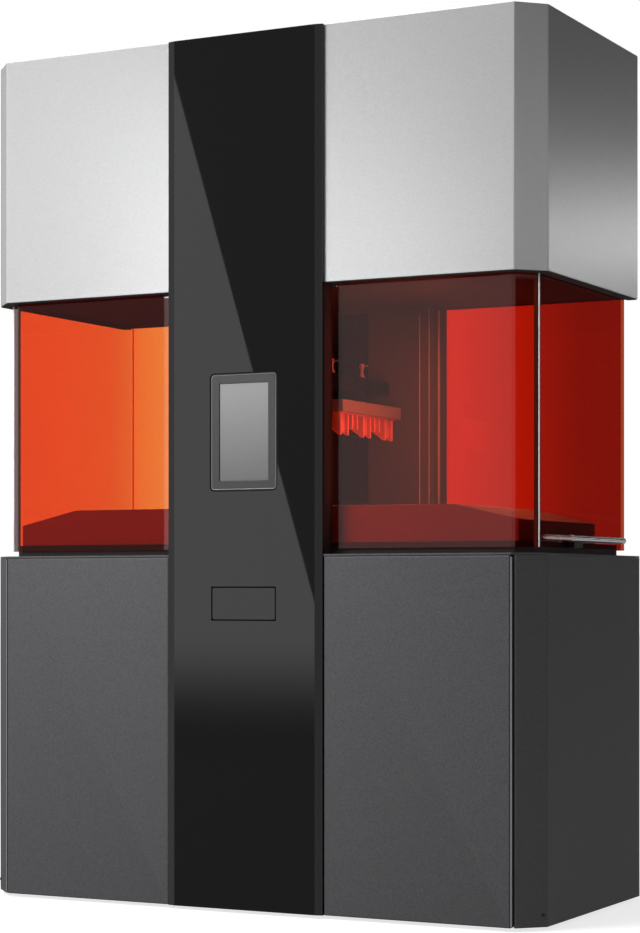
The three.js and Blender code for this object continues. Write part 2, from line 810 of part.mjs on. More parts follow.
// bright channel at the corner, for the side pane's front edge
function windowChannel(side) {
  const inX = PANE.side - PANE.thick - GUIDE_PLAY;
  const outX = PANE.side + GUIDE_PLAY;
  const web = SASH_Y0 - 0.5;
  const plan = [
    [inX - GUIDE_WALL, web - 3.2],
    [outX + GUIDE_WALL, web - 3.2],
    [outX + GUIDE_WALL, web + 3],
    [outX, web + 3],
    [outX, web],
    [inX, web],
    [inX, web + 9],
    [inX - GUIDE_WALL, web + 9],
  ];
  return raise(mirrored(plan, side), PANE.z0, GUIDE_TOP);
}

// fixed on the left; on the right it is the sash that slides up into the hood
function sidePane(side) {
  const x0 = side * (PANE.side - PANE.thick);
  return box(x0, side * PANE.side, SASH_Y0, PANE.y1, PANE.z0, PANE.z1);
}

// bar handle along the right sash's lower edge: a turned front grip, two posts and the lock block
const HANDLE = { x: 663, z: 808, tip: -240, collar: -76, end: 241 };

function sashHandle() {
  const profile = [
    [0, HANDLE.tip],
    [4, HANDLE.tip + 6],
    [6, HANDLE.tip + 16],
    [6, -166],
    [4.6, -164],
    [4.6, -158],
    [6, -156],
    [6, HANDLE.collar - 14],
    [8.5, HANDLE.collar - 8],
    [7, HANDLE.collar + 4],
    [7, HANDLE.end - 7],
    [4.5, HANDLE.end - 1.5],
    [0, HANDLE.end],
  ];
  const points = profile.map(([r, y]) => new THREE.Vector2(r, y));
  const grip = new THREE.LatheGeometry(points, 16).translate(HANDLE.x, 0, HANDLE.z);
  const foot = PANE.side + GAP;
  const posts = [-40, 200].map((y) => barAlongX(y, HANDLE.z, 4.5, foot, HANDLE.x, 12));
  const lock = box(foot, foot + 15, -70, -20, PANE.z0 + 1, HANDLE.z - 4);
  return join(grip, ...posts, lock);
}

for (const [word, side] of SIDES) {
  add(chamber, `${word}_front_window`, frontWindow(side), acrylic);
  add(chamber, `${word}_window_channel`, windowChannel(side), aluminium);
}
add(chamber, "left_side_window", sidePane(-1), acrylic);
add(chamber, "right_sash", sidePane(1), acrylic);
add(chamber, "right_sash_handle", sashHandle(), chrome);

// ---------- Z axis ----------

const axis = assembly("z_axis");

const TOWER_REAR = REAR_PANE_Y - GAP;
const TOWER_BACK = TOWER_REAR - TOWER.wall; // the face that the rails are bolted to

// channel-section tower with the housing of the screw's lower bearing
function towerFrame() {
  const y0 = TOWER.front + 2.7 + GAP;
  const outer = box(-TOWER.half, TOWER.half, y0, TOWER_REAR, PLINTH_TOP + GAP, CEILING_Z - GAP);
  const inside = box(-TOWER.half + TOWER.wall, TOWER.half - TOWER.wall, y0 - 1, TOWER_BACK, 0, 2000);
  const housing = box(-35, 35, y0 + 4, TOWER_BACK + 1, 812, SCREW.z0 - 1);
  return cut(join(cut(outer, inside), housing), bar(0, SCREW.y, 8.4, 816, 860));
}
add(axis, "tower_frame", towerFrame(), darkCoat);

// cover with the slot that the arm moves in
function towerCover() {
  const cover = box(-TOWER.half, TOWER.half, TOWER.front, TOWER.front + 2.7, PLINTH_TOP + GAP, CEILING_Z - GAP);
  return cut(cover, box(-52, 52, TOWER.front - 5, TOWER.front + 5, 900, 1344));
}
add(axis, "tower_cover", towerCover(), darkCoat);

for (const [word, side] of SIDES) {
  const inX = side * (RAIL.x - RAIL.half);
  const outX = side * (RAIL.x + RAIL.half);
  add(axis, `${word}_rail`, box(inX, outX, RAIL.y0, TOWER_BACK - GAP, 830, 1342), steel);
}

// screw with its lower journal and, at the top, the coupling half
function ballScrew() {
  const journal = bar(0, SCREW.y, 8, 820, SCREW.z0 + 1);
  const thread = bar(0, SCREW.y, SCREW.r, SCREW.z0, SCREW.z1, 20);
  const coupling = bar(0, SCREW.y, 15, SCREW.z1 - 1, SCREW.z1 + 30);
  return join(journal, thread, coupling);
}
add(axis, "ball_screw", ballScrew(), steel);

// motor on an open bracket above the ceiling
function screwMotor() {
  const z0 = CEILING_Z + SHEET + GAP;
  const plate = box(-45, 45, SCREW.y - 40, SCREW.y + 40, SCREW.z1 + 34, 1404);
  const legs = [-1, 1].map((side) =>
    box(side * 39, side * 45, SCREW.y - 40, SCREW.y + 40, z0, 1400),
  );
  const motor = box(-40, 40, SCREW.y - 40, SCREW.y + 40, 1403, 1490);
  return join(plate, ...legs, motor);
}
add(axis, "screw_motor", screwMotor(), moulded);

// carriage: nut housing and plate, with a bearing block round each rail
function zCarriage() {
  const body = box(-CARRIAGE.half, CARRIAGE.half, CARRIAGE.y0, CARRIAGE.y1, CARRIAGE.z0, CARRIAGE.z1);
  const blocks = [-1, 1].map((side) =>
    box(
      side * (RAIL.x - 20),
      side * (RAIL.x + 20),
      CARRIAGE.y1 - 1,
      RAIL.y0 + 12,
      CARRIAGE.z0,
      CARRIAGE.z1,
    ),
  );
  const slots = [-1, 1].map((side) =>
    box(
      side * (RAIL.x - RAIL.half - 0.4),
      side * (RAIL.x + RAIL.half + 0.4),
      RAIL.y0 - 0.5,
      RAIL.y0 + 20,
      0,
      2000,
    ),
  );
  const screwBore = bar(0, SCREW.y, SCREW.r + 0.4, 1000, 1400, 20);
  return cut(join(body, ...blocks), ...slots, screwBore);
}
add(axis, "z_carriage", zCarriage(), aluminium);

// arm and head plate, with a T-slot along X under it
function headArm() {
  const arm = box(-45, 45, HEAD.y1 - 1, CARRIAGE.y0 - GAP, HEAD.z0 - 6, HEAD.z1 + 18);
  const plate = box(-HEAD.half, HEAD.half, HEAD.y0, HEAD.y1, HEAD.z0, HEAD.z1);
  const play = 0.5;
  const neck = box(
    -200,
    200,
    PLATFORM_Y - RAIL_T.stem - play,
    PLATFORM_Y + RAIL_T.stem + play,
    HEAD.z0 - 10,
    RAIL_T.neck + 1,
  );
  const slot = box(
    -200,
    200,
    PLATFORM_Y - RAIL_T.head - play,
    PLATFORM_Y + RAIL_T.head + play,
    RAIL_T.neck - play,
    RAIL_T.top + play,
  );
  return cut(join(arm, plate), neck, slot);
}
add(axis, "head_arm", headArm(), blackPaint);

// build platform with the T-rail it hangs by
function platform() {
  const plate = box(
    -PLATFORM.half,
    PLATFORM.half,
    PLATFORM.y0,
    PLATFORM.y1,
    PLATFORM.z0,
    PLATFORM.z1,
  );
  const stem = box(
    -120,
    120,
    PLATFORM_Y - RAIL_T.stem,
    PLATFORM_Y + RAIL_T.stem,
    PLATFORM.z1 - 1,
    RAIL_T.neck + 1,
  );
  const head = box(
    -120,
    120,
    PLATFORM_Y - RAIL_T.head,
    PLATFORM_Y + RAIL_T.head,
    RAIL_T.neck,
    RAIL_T.top,
  );
  return join(plate, stem, head);
}
add(axis, "build_platform", platform(), aluminium);

// clamp knob: a tapered nut with a thin upright grip
function clampKnob(y) {
  const profile = [
    [0, HEAD.z1 + GAP],
    [9, HEAD.z1 + GAP],
    [9, HEAD.z1 + 4],
    [4, HEAD.z1 + 12],
    [3.5, HEAD.z1 + 16],
    [3.5, HEAD.z1 + 32],
    [0, HEAD.z1 + 34],
  ];
  const lever = box(KNOBS.x, KNOBS.x + 16, y - 2.5, y + 2.5, HEAD.z1 + 1, HEAD.z1 + 6);
  return join(turned(profile, KNOBS.x, y), lever);
}
add(axis, "front_clamp_knob", clampKnob(KNOBS.front), chrome);
add(axis, "rear_clamp_knob", clampKnob(KNOBS.rear), chrome);

// sample print: a raft with triangular fins of two sizes hanging from it
function samplePrint() {
  const top = PLATFORM.z0 - GAP;
  const pieces = [box(30, 142, -128, 150, top - 3, top)];
  const pitch = 56;
  for (let i = 0; i < 5; i += 1) {
    const large = i % 2 === 0;
    const y = -126 + i * pitch;
    const drop = large ? 50 : 34;
    const reach = large ? 100 : 66;
    const fin = outline([
      [140 - reach, top - 2],
      [140, top - drop],
      [140, top - 2],
    ]);
    pieces.push(alongY(fin, y, y + (large ? 40 : 30)));
  }
  return join(...pieces);
}
add(axis, "sample_print", samplePrint(), resin);

// ---------- resin tank ----------

const tank = assembly("tank");

// open tray that hangs in the bench by its rim, with a ledge for the window
function resinTank() {
  const top = BENCH.top + GAP + RIM_THICK;
  const inX = TANK.half - TANK.wall;
  const y0 = TANK.y0 + TANK.wall;
  const y1 = TANK.y1 - TANK.wall;
  const tub = box(-TANK.half, TANK.half, TANK.y0, TANK.y1, TANK.z0, top);
  const rim = box(
    -TANK.half - TANK.rim,
    TANK.half + TANK.rim,
    TANK.y0 - TANK.rim,
    BENCH.y1 - 1,
    top - RIM_THICK,
    top,
  );
  const room = box(-inX, inX, y0, y1, TANK.z0 + 3, top + 1);
  const view = box(-inX + 12, inX - 12, y0 + 12, y1 - 12, TANK.z0 - 1, TANK.z0 + 4);
  return cut(join(tub, rim), room, view);
}
add(tank, "resin_tank", resinTank(), moulded);

add(
  tank,
  "tank_window",
  box(
    -TANK.half + TANK.wall + GAP,
    TANK.half - TANK.wall - GAP,
    TANK.y0 + TANK.wall + GAP,
    TANK.y1 - TANK.wall - GAP,
    TANK.z0 + 3 + GAP,
    TANK.z0 + 9,
  ),
  clearGlass,
);

export default printer;
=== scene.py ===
import json
import math

import bmesh
import bpy
import numpy as np
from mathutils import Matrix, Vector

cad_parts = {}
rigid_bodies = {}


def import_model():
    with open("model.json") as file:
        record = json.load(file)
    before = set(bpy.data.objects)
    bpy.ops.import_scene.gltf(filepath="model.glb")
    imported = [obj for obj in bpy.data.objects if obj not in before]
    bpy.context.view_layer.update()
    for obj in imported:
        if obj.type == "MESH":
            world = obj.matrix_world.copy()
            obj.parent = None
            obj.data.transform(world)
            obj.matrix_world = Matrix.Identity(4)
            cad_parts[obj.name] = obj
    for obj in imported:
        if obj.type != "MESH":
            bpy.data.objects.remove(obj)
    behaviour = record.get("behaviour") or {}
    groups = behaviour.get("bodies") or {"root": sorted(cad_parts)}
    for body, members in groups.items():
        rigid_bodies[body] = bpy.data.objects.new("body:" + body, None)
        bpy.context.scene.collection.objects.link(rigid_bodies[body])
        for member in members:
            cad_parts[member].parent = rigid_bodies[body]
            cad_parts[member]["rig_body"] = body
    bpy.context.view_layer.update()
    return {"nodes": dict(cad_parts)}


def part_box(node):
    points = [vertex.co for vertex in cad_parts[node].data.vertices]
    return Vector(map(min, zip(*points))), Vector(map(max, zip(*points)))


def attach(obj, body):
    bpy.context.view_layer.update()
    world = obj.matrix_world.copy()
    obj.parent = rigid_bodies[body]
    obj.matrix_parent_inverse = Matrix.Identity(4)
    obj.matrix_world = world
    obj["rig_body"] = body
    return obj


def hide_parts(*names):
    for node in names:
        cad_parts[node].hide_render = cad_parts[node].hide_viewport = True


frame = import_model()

# ---------- camera ----------
# A long lens to the right of the machine, level, so that its uprights stay upright, with the view
# shifted up to take in the hood.

camera_data = bpy.data.cameras.new("camera")
camera_data.sensor_width = 36.0
camera_data.lens = 91.75
camera_data.shift_y = 0.1318
camera = bpy.data.objects.new("camera", camera_data)
bpy.context.scene.collection.objects.link(camera)
camera.location = (2.4993, -4.7933, 0.6998)
camera.rotation_euler = (math.pi / 2, 0.0, math.radians(27.3177))
bpy.context.scene.camera = camera
bpy.context.scene.view_settings.view_transform = "Standard"

# ---------- base panels ----------
# The corner panels of the cabinet: 3 mm steel sheet, folded at 45 degrees on a press brake and turned
# in beside the door. Graphite powder coat, sprayed and baked: a satin skin full of fine flakes.

MM = 0.001
SHEET = 3.0
SIDES = (("left", -1), ("right", 1))
SMOOTH_BELOW = math.radians(32)


def extent(node):
    """Lowest x, y and z of a CAD node, then its highest, in millimetres."""
    return np.array([list(corner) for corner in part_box(node)]).ravel() / MM


def bends(corners, radius, inset=0.0, steps=5, closed=False):
    """A line through the corners, each corner turned into an arc of that radius, moved inset to its
    left. An arc point is corner + mitre * max(inset, radius) - normal * (max(inset, radius) - inset),
    where the normal turns evenly from one side's to the next. An inset array adds an axis."""
    corners = np.asarray(corners, float)
    inset = np.asarray(inset, float)
    along = np.roll(corners, -1, 0) - corners
    along /= np.linalg.norm(along, axis=1)[:, None]
    left = np.stack([-along[:, 1], along[:, 0]], 1)
    before = np.roll(left, 1, 0)
    if not closed:
        before[0] = left[0]
        left[-1] = before[-1]
    mitre = (before + left) / (1 + np.sum(before * left, 1))[:, None]
    turn = np.arctan2(before[:, 0] * left[:, 1] - before[:, 1] * left[:, 0], np.sum(before * left, 1))
    turn[np.abs(turn) < 1e-6] = 0.0
    swing = turn[:, None] * np.linspace(0, 1, steps + 1)
    angle = np.arctan2(before[:, 1], before[:, 0])[:, None] + swing
    kept = (turn != 0)[:, None] | (np.arange(steps + 1) == 0)
    normal = np.stack([np.cos(angle), np.sin(angle)], 2)[kept]
    spot = np.repeat(corners[:, None], steps + 1, 1)[kept]
    mitre = np.repeat(mitre[:, None], steps + 1, 1)[kept]
    bend = np.repeat((radius * np.sign(turn))[:, None], steps + 1, 1)[kept]
    if inset.ndim:
        normal, spot, mitre, bend = normal[:, None], spot[:, None], mitre[:, None], bend[:, None]
    deep = np.where(bend >= 0, np.maximum(inset, bend), np.minimum(inset, bend))
    return spot + mitre * deep[..., None] - normal * (deep - inset)[..., None]


def shell(rings, loop=False):
    """Points and faces of the surface through rings[i, j], closed round j. Its two ends are one flat
    face each, or are joined if loop. The volume, a sixth of the sum of a . (b x c) over its
    triangles, says which way it faces: if it is negative, every face is turned round."""
    rings = np.asarray(rings, float)
    index = np.arange(rings.shape[0] * rings.shape[1]).reshape(rings.shape[:2])
    points = rings.reshape(-1, 3)
    near, far = (index, np.roll(index, -1, 0)) if loop else (index[:-1], index[1:])
    quads = np.stack([near, np.roll(near, -1, 1), np.roll(far, -1, 1), far], -1).reshape(-1, 4)
    caps = [] if loop else [index[0][::-1], index[-1]]
    fans = [np.stack([np.full(len(cap) - 2, cap[0]), cap[1:-1], cap[2:]], 1) for cap in caps]
    triangles = np.vstack([quads[:, :3], quads[:, [0, 2, 3]], *fans])
    a, b, c = (points[triangles[:, k]] - points.mean(0) for k in range(3))
    volume = np.einsum("ij,ij->", a, np.cross(b, c))
    faces = [*quads.tolist(), *[cap.tolist() for cap in caps]]
    return points, faces if volume > 0 else [face[::-1] for face in faces]


def solid(name, *shells):
    """One mesh of several closed shells, scaled from millimetres to metres."""
    points, faces, start = [], [], 0
    for spots, polygons in shells:
        points.append(spots)
        faces += [[start + k for k in polygon] for polygon in polygons]
        start += len(spots)
    mesh = bpy.data.meshes.new(name)
    mesh.from_pydata(np.vstack(points) * MM, [], faces)
    return mesh


def folded_sheet(corners, fold, section, side=1):
    """A sheet along a plan line of corners, folded with that outside radius. section is its closed
    outline, as (depth in from the outer face, height) pairs. side -1 mirrors it in X."""
    section = np.asarray(section, float)
    plan = bends(corners, fold, section[:, 0])
    height = np.broadcast_to(section[:, 1], plan.shape[:2])
    return shell(np.dstack([plan[..., 0] * side, plan[..., 1], height]))


def sheet_section(z0, z1, thick=SHEET, ease=0.8):
    """Outline of a plain upright sheet with eased edges, as (depth, height) pairs."""
    return bends([(0, z0), (thick, z0), (thick, z1), (0, z1)], ease, steps=3, closed=True)


def put(name, data):
    """Adds an object to the scene."""
    thing = bpy.data.objects.new(name, data)
    bpy.context.scene.collection.objects.link(thing)
    return thing


def place(mesh, material, node, stands_in=True):
    """Puts a mesh in the scene, riding on a CAD node's body. It stands in for that node, unless it is
    an extra. It is smooth where it is curved, and normals weighted by area keep its flats flat."""
    thing = put(mesh.name, mesh)
    mesh.materials.clear()
    mesh.materials.append(material)
    mesh.shade_smooth()
    mesh.set_sharp_from_angle(angle=SMOOTH_BELOW)
    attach(thing, frame["nodes"][node]["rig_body"])
    if stands_in:
        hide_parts(node)
    flats = thing.modifiers.new("flat faces", "WEIGHTED_NORMAL")
    flats.keep_sharp = True
    return thing


def linear(colour):
    """A scene colour from an sRGB hex value: ((c + 0.055) / 1.055) ** 2.4 above the toe."""
    parts = [int(colour[i : i + 2], 16) / 255 for i in (1, 3, 5)]
    return tuple(c / 12.92 if c <= 0.04045 else ((c + 0.055) / 1.055) ** 2.4 for c in parts) + (1.0,)


def wire(node, inputs):
    """Sets a node's inputs, each to a value, to an output, or to the first live output of a node."""
    for key, value in inputs.items():
        if isinstance(value, bpy.types.Node):
            value = next(output for output in value.outputs if output.enabled)
        if isinstance(value, bpy.types.NodeSocket):
            node.id_data.links.new(value, node.inputs[key])
        else:
            node.inputs[key].default_value = value


def add(tree, kind, inputs=None, **settings):
    """Adds a shader node. settings are its properties, and inputs its values or what it takes in."""
    made = tree.nodes.new("ShaderNode" + kind)
    for key, value in settings.items():
        setattr(made, key, value)
    wire(made, inputs or {})
    return made


def finish_of(name, inputs):
    """A material with one Principled shader, and the values that are the same all over it. Also its
    tree, that shader, and the place of a point on the object."""
    material = bpy.data.materials.new(name)
    material.use_nodes = True
    tree = material.node_tree
    shader = tree.nodes["Principled BSDF"]
    wire(shader, inputs)
    return material, tree, shader, add(tree, "TexCoord").outputs["Object"]


def powder_coat(name, dark, light, rough, metal, flake, grain=2.4, peel=9.0, bump=0.25):
    """Baked powder coat. Grains and flakes are about 0.2 mm on the real skin and are drawn some 2 mm
    wide, so that they show. Under them lies the faint orange peel of a sprayed coat, 9 mm across."""
    material, tree, shader, spot = finish_of(name, {"Metallic": metal})
    fine = {"Vector": spot, "Scale": 1 / (grain * MM)}
    noise = add(tree, "TexNoise", {**fine, "Detail": 2.0, "Roughness": 0.6})
    flakes = add(tree, "TexVoronoi", fine)
    nearby = {"From Max": 0.4, "To Min": flake, "To Max": 0.0}
    glint = add(tree, "MapRange", {"Value": flakes, **nearby})
    spread = add(tree, "MapRange", {"Value": noise, "From Min": 0.3, "From Max": 0.7})
    shade = add(tree, "Math", {0: spread, 1: glint}, operation="ADD")
    colour = add(tree, "Mix", {0: shade, 6: linear(dark), 7: linear(light)}, data_type="RGBA")
    gloss = add(tree, "MapRange", {"Value": noise, "To Min": rough - 0.08, "To Max": rough + 0.08})
    waves = add(tree, "TexNoise", {"Vector": spot, "Scale": 1 / (peel * MM), "Detail": 1.0})
    grit = add(tree, "Bump", {"Height": noise, "Strength": bump, "Distance": 0.25 * MM})
    sprayed = {"Height": waves, "Strength": 0.12, "Distance": 0.4 * MM}
    skin = add(tree, "Bump", {**sprayed, "Normal": grit})
    wire(shader, {"Base Color": colour, "Roughness": gloss, "Normal": skin})
    return material


# Satin and dark, with flakes that catch the light one by one.
graphite_coat = powder_coat("graphite powder coat, baked", "#3e3e40", "#565658", 0.48, 0.15, 0.4)

BASE_FOLD = 4.0

for word, side in SIDES:
    node = f"base_{word}_panel"
    x0, y0, z0, x1, y1, z1 = extent(node)
    inner, outer = sorted((abs(x0), abs(x1)))
    chamfer = outer - inner
    line = [(inner, y0 + 18), (inner, y0), (outer, y0 + chamfer), (outer, y1)]
    sheet = folded_sheet(line, BASE_FOLD, sheet_section(z0, z1), side)
    place(solid(f"base_{word}_corner_panel", sheet), graphite_coat, node)

# ---------- base doors ----------
# Each front of the base is a service door: a pan of 3 mm sheet with its four edges folded back, on a
# long pin hinge in the seam beside the corner panel. Same graphite coat.


def pan(x0, x1, z0, z1, face, back, fold=BASE_FOLD, thick=SHEET):
    """An open-backed pan that faces -Y. Its surface is a rectangle with round corners whose inset and
    depth follow the wall: inside of the face, inner wall, rim, outer wall, fold, outer face."""
    arc = np.linspace(0, math.pi / 2, 6)
    inset = [fold + thick, thick, thick, 0.4, 0.0, *(fold - fold * np.cos(arc))]
    round_edge = face + fold - fold * np.sin(arc)
    depth = [face + thick, face + thick + fold, back, back, back - 0.4, *round_edge]
    corners = [(x0, z0), (x1, z0), (x1, z1), (x0, z1)]
    plan = bends(corners, 2.0, np.array(inset), closed=True)
    rings = np.dstack([plan[..., 0], np.broadcast_to(depth, plan.shape[:2]), plan[..., 1]])
    return shell(rings.transpose(1, 0, 2))


for word, side in SIDES:
    node = f"base_{word}_door"
    x0, y0, z0, x1, y1, z1 = extent(node)
    place(solid(f"base_{word}_door_pan", pan(x0, x1, z0, z1, y0, y1)), graphite_coat, node)


def turned(profile, place_at, axis="z", steps=32):
    """A turned shape: (radius, distance along) pairs carried round an axis through place_at, as
    radius * cos t and radius * sin t."""
    profile = np.asarray(profile, float)
    t = np.linspace(0, math.tau, steps, endpoint=False)
    across = profile[:, :1] * np.cos(t), profile[:, :1] * np.sin(t)
    along = np.broadcast_to(profile[:, 1:], across[0].shape)
    order = {"x": (along, *across), "y": (across[1], along, across[0]), "z": (*across, along)}[axis]
    return shell(np.dstack(order) + np.asarray(place_at, float))


def ground_metal(name, colour, rough, scale, stretch=(1, 1, 1), wear=0.08, bump=0.1, metal=1.0):
    """Bare or plated metal with marks of its making: a noise whose grain is scale mm wide and is
    drawn out where stretch is small, in the roughness, the tint and the relief."""
    material, tree, shader, spot = finish_of(name, {"Metallic": metal})
    drawn = add(tree, "Mapping", {"Vector": spot, "Scale": stretch})
    fine = {"Vector": drawn, "Scale": 1 / (scale * MM)}
    marks = add(tree, "TexNoise", {**fine, "Detail": 4.0, "Roughness": 0.6})
    low, high = max(rough - wear, 0.02), rough + wear
    gloss = add(tree, "MapRange", {"Value": marks, "To Min": low, "To Max": high})
    base = linear(colour)
    worn = tuple(c * 0.86 for c in base[:3]) + (1.0,)
    tint = add(tree, "Mix", {0: marks, 6: worn, 7: base}, data_type="RGBA")
    relief = add(tree, "Bump", {"Height": marks, "Strength": bump, "Distance": 0.1 * MM})
    wire(shader, {"Base Color": tint, "Roughness": gloss, "Normal": relief})
    return material


# Bright zinc, passivated: greyish, with cloudy 12 mm patches where the plating grew unevenly.
zinc_plate = ground_metal("zinc-plated steel", "#b4b6ba", 0.38, 12.0)


def place_eased(node, material, width, name, segments=2):
    """Stands a copy of a CAD mesh in for it. Its doubles are merged, its flat faces are made whole
    again, and its sharp edges are broken by a Bevel of that width in mm."""
    work = bmesh.new()
    work.from_mesh(frame["nodes"][node].data)
    bmesh.ops.remove_doubles(work, verts=work.verts, dist=0.01 * MM)
    bmesh.ops.dissolve_limit(work, angle_limit=math.radians(1), verts=work.verts, edges=work.edges)
    mesh = bpy.data.meshes.new(name)
    work.to_mesh(mesh)
    work.free()
    thing = place(mesh, material, node)
    thing.modifiers.clear()
    bevel = thing.modifiers.new("broken edges", "BEVEL")
    bevel.width = width * MM
    bevel.segments = segments
    bevel.limit_method = "ANGLE"
    bevel.angle_limit = math.radians(35)
    bevel.harden_normals = True
    return thing


for word, side in SIDES:
    place_eased(f"{word}_door_hinge", zinc_plate, 0.3, f"{word}_door_pin_hinge")

# ---------- floor tray and levelling feet ----------
# A 6 mm steel tray closes the cabinet below. It stands on four levelling feet: a rubber pad in a zinc
# cup, a threaded stem and a lock nut under the tray.

matt_black_coat = powder_coat("matt black powder coat, baked", "#161617", "#202022", 0.62, 0.0, 0.1)


def moulded(name, colour, rough, texture=1.6, bump=0.2, inputs=None):
    """Moulded plastic or rubber: one colour, with a spark-eroded mould texture of that size in mm in
    its relief, and a slow change of gloss where the melt cooled unevenly."""
    uniform = {"Base Color": linear(colour), **(inputs or {})}
    material, tree, shader, spot = finish_of(name, uniform)
    pits = add(tree, "TexNoise", {"Vector": spot, "Scale": 1 / (texture * MM), "Detail": 2.0})
    cloud = add(tree, "TexNoise", {"Vector": spot, "Scale": 1 / (40 * MM), "Detail": 2.0})
    low, high = max(rough - 0.06, 0.02), rough + 0.06
    gloss = add(tree, "MapRange", {"Value": cloud, "To Min": low, "To Max": high})
    relief = add(tree, "Bump", {"Height": pits, "Strength": bump, "Distance": 0.15 * MM})
    wire(shader, {"Roughness": gloss, "Normal": relief})
    return material


rubber = moulded("moulded rubber, matt", "#1b1b1b", 0.8)


def slab(corners, radius, span, ease=1.0, facing="z", steps=6):
    """A plate: its outline, with round corners, drawn in by a quarter circle at both faces. span is
    where the faces lie along the axis that it faces."""
    low, high = span
    arc = np.linspace(0, math.pi / 2, 4)
    inset = np.concatenate([ease - ease * np.sin(arc), ease - ease * np.cos(arc)])
    level = np.concatenate([low + ease - ease * np.cos(arc), high - ease + ease * np.sin(arc)])
    plan = bends(corners, radius, inset, steps, closed=True).transpose(1, 0, 2)
    level = np.broadcast_to(level[:, None], plan.shape[:2])
    order = {"x": (level, plan[..., 0], plan[..., 1]), "y": (plan[..., 0], level, plan[..., 1])}
    return shell(np.dstack(order.get(facing, (plan[..., 0], plan[..., 1], level))))


def rectangle(x0, x1, y0, y1):
    """Corners of a rectangle, anticlockwise."""
    return [(x0, y0), (x1, y0), (x1, y1), (x0, y1)]


FOOT_SPOTS = [(x, y) for x in (-560, 560) for y in (-200, 230)]
x0, y0, z0, x1, y1, z1 = extent("base_frame")
tray = slab(rectangle(x0, x1, y0, y1), 3.0, (z1 - 6, z1))
place(solid("base_floor_tray", tray), matt_black_coat, "base_frame")
thread = [(12 if k % 2 else 10.8, 12.8 + 0.6 * k) for k in range(26)]
stem = [(11.6, 12), (12, 12.4), *thread, (10, 29)]
nut = [(13, 22), (17, 22.8), (17.6, 25.6), (17, 28.6), (13, 29.4)]
cup = [(20, 4), (31.4, 4), (32, 4.6), (31, 9), (18, 12.5), (13, 13)]
pad = [(30, 0), (31.5, 1), (31.5, 4.2), (28, 4.6)]
metal_feet = [
    turned(profile, (x, y, 0), steps=steps)
    for x, y in FOOT_SPOTS
    for profile, steps in ((stem, 32), (nut, 6), (cup, 40))
]
place(solid("levelling_feet", *metal_feet), zinc_plate, "base_frame", stands_in=False)
pads = [turned(pad, (x, y, 0), steps=40) for x, y in FOOT_SPOTS]
place(solid("levelling_foot_pads", *pads), rubber, "base_frame", stands_in=False)

# ---------- base deck and rear panel ----------
# The deck is a 4 mm plate laid in the base, cut out round the column and for the laser beam. The rear
# panel is flat sheet with louvre slots and hex screws along its edge. Both have the graphite coat.

place_eased("base_deck", graphite_coat, 1.0, "base_deck_plate")
place_eased("base_rear_panel", graphite_coat, 0.6, "base_rear_sheet")


def screw_heads(spots, y, radius=5.0, high=3.0):
    """Button-head screws that stand out of a rear face at y: a dome radius * sqrt(1 - h * h) over h,
    with a hexagon socket sunk in it."""
    h = np.linspace(0.0, 0.86, 6)
    dome = [(r, high * k) for r, k in zip(radius * np.sqrt(1 - h * h), h)]
    socket = [(radius * 0.44, high * 0.9), (radius * 0.42, high * 0.35)]
    return [turned([*dome, *socket], (x, y, z), "y", 18) for x, z in spots]


def edge_screws(node, spare):
    """Screws along a rear panel's edge: six along its top and its foot, and three up each side, which
    leave spare mm at both ends."""
    x0, y0, z0, x1, y1, z1 = extent(node) + [14, 0, 14, -14, 0, -14]
    spots = [(x, z) for x in np.linspace(x0, x1, 6) for z in (z0, z1)]
    spots += [(x, z) for x in (x0, x1) for z in np.linspace(z0 + spare, z1 - spare, 3)]
    return screw_heads(spots, y1)


rear_screws = solid("base_rear_screws", *edge_screws("base_rear_panel", 186))
place(rear_screws, zinc_plate, "base_rear_panel", stands_in=False)

# ---------- mains inlet, power supply and cartridge ----------
# The inlet is a black moulding with three bright plated pins and a rocker switch beside it. Inside
# the base stand a power supply in a zinc-plated case and a resin cartridge in its dock.

black_plastic = moulded("moulded black ABS, finely textured", "#1d1d1f", 0.48)
anodised = ground_metal("clear anodised aluminium, bead-blasted", "#c3c4c6", 0.36, 0.8, wear=0.06)
polished = ground_metal("polished chrome plate", "#dcdcde", 0.07, 6.0, wear=0.03, bump=0.01)

place_eased("mains_inlet", black_plastic, 0.6, "mains_inlet_moulding")
PIN_SPOTS = ((411, 152), (404, 146), (418, 146))
PIN_ENDS = (296, 309)
pins = [
    slab(rectangle(x - 1.0, x + 1.0, z - 2.0, z + 2.0), 0.6, PIN_ENDS, 0.4, "y", 3)
    for x, z in PIN_SPOTS
]
place(solid("mains_inlet_pins", *pins), polished, "mains_inlet", stands_in=False)
place_eased("main_switch", black_plastic, 0.8, "main_switch_rocker")
FLANGE_CORNERS = [(x, z) for z in (180, 120) for x in (391, 469)]
FLANGE_FACE = 313.0
inlet_heads = screw_heads(FLANGE_CORNERS, FLANGE_FACE, radius=3.6, high=1.9)
inlet_screws = solid("mains_inlet_screws", *inlet_heads)
place(inlet_screws, zinc_plate, "mains_inlet", stands_in=False)

place_eased("power_supply", zinc_plate, 0.8, "power_supply_case")
place_eased("cartridge_dock", black_plastic, 1.0, "cartridge_dock_moulding")

# Amber resin behind translucent polythene: warm, waxy, with a soft gloss.
bottle_plastic = moulded(
    "blow-moulded polythene, amber", "#8a3b12", 0.35, 3.0, 0.1, {"Coat Weight": 0.1}
)
x0, y0, z0, x1, y1, z1 = extent("resin_cartridge")
bottle = slab(rectangle(x0, x1, y0, y1), 16.0, (z0, z1 - 24), 9.0)
middle = ((x0 + x1) / 2, (y0 + y1) / 2, 0)
neck = [(24, z1 - 25), (24, z1 - 22), (22, z1 - 21.5), (22, z1 - 19)]
place(solid("resin_bottle", bottle, turned(neck, middle)), bottle_plastic, "resin_cartridge")
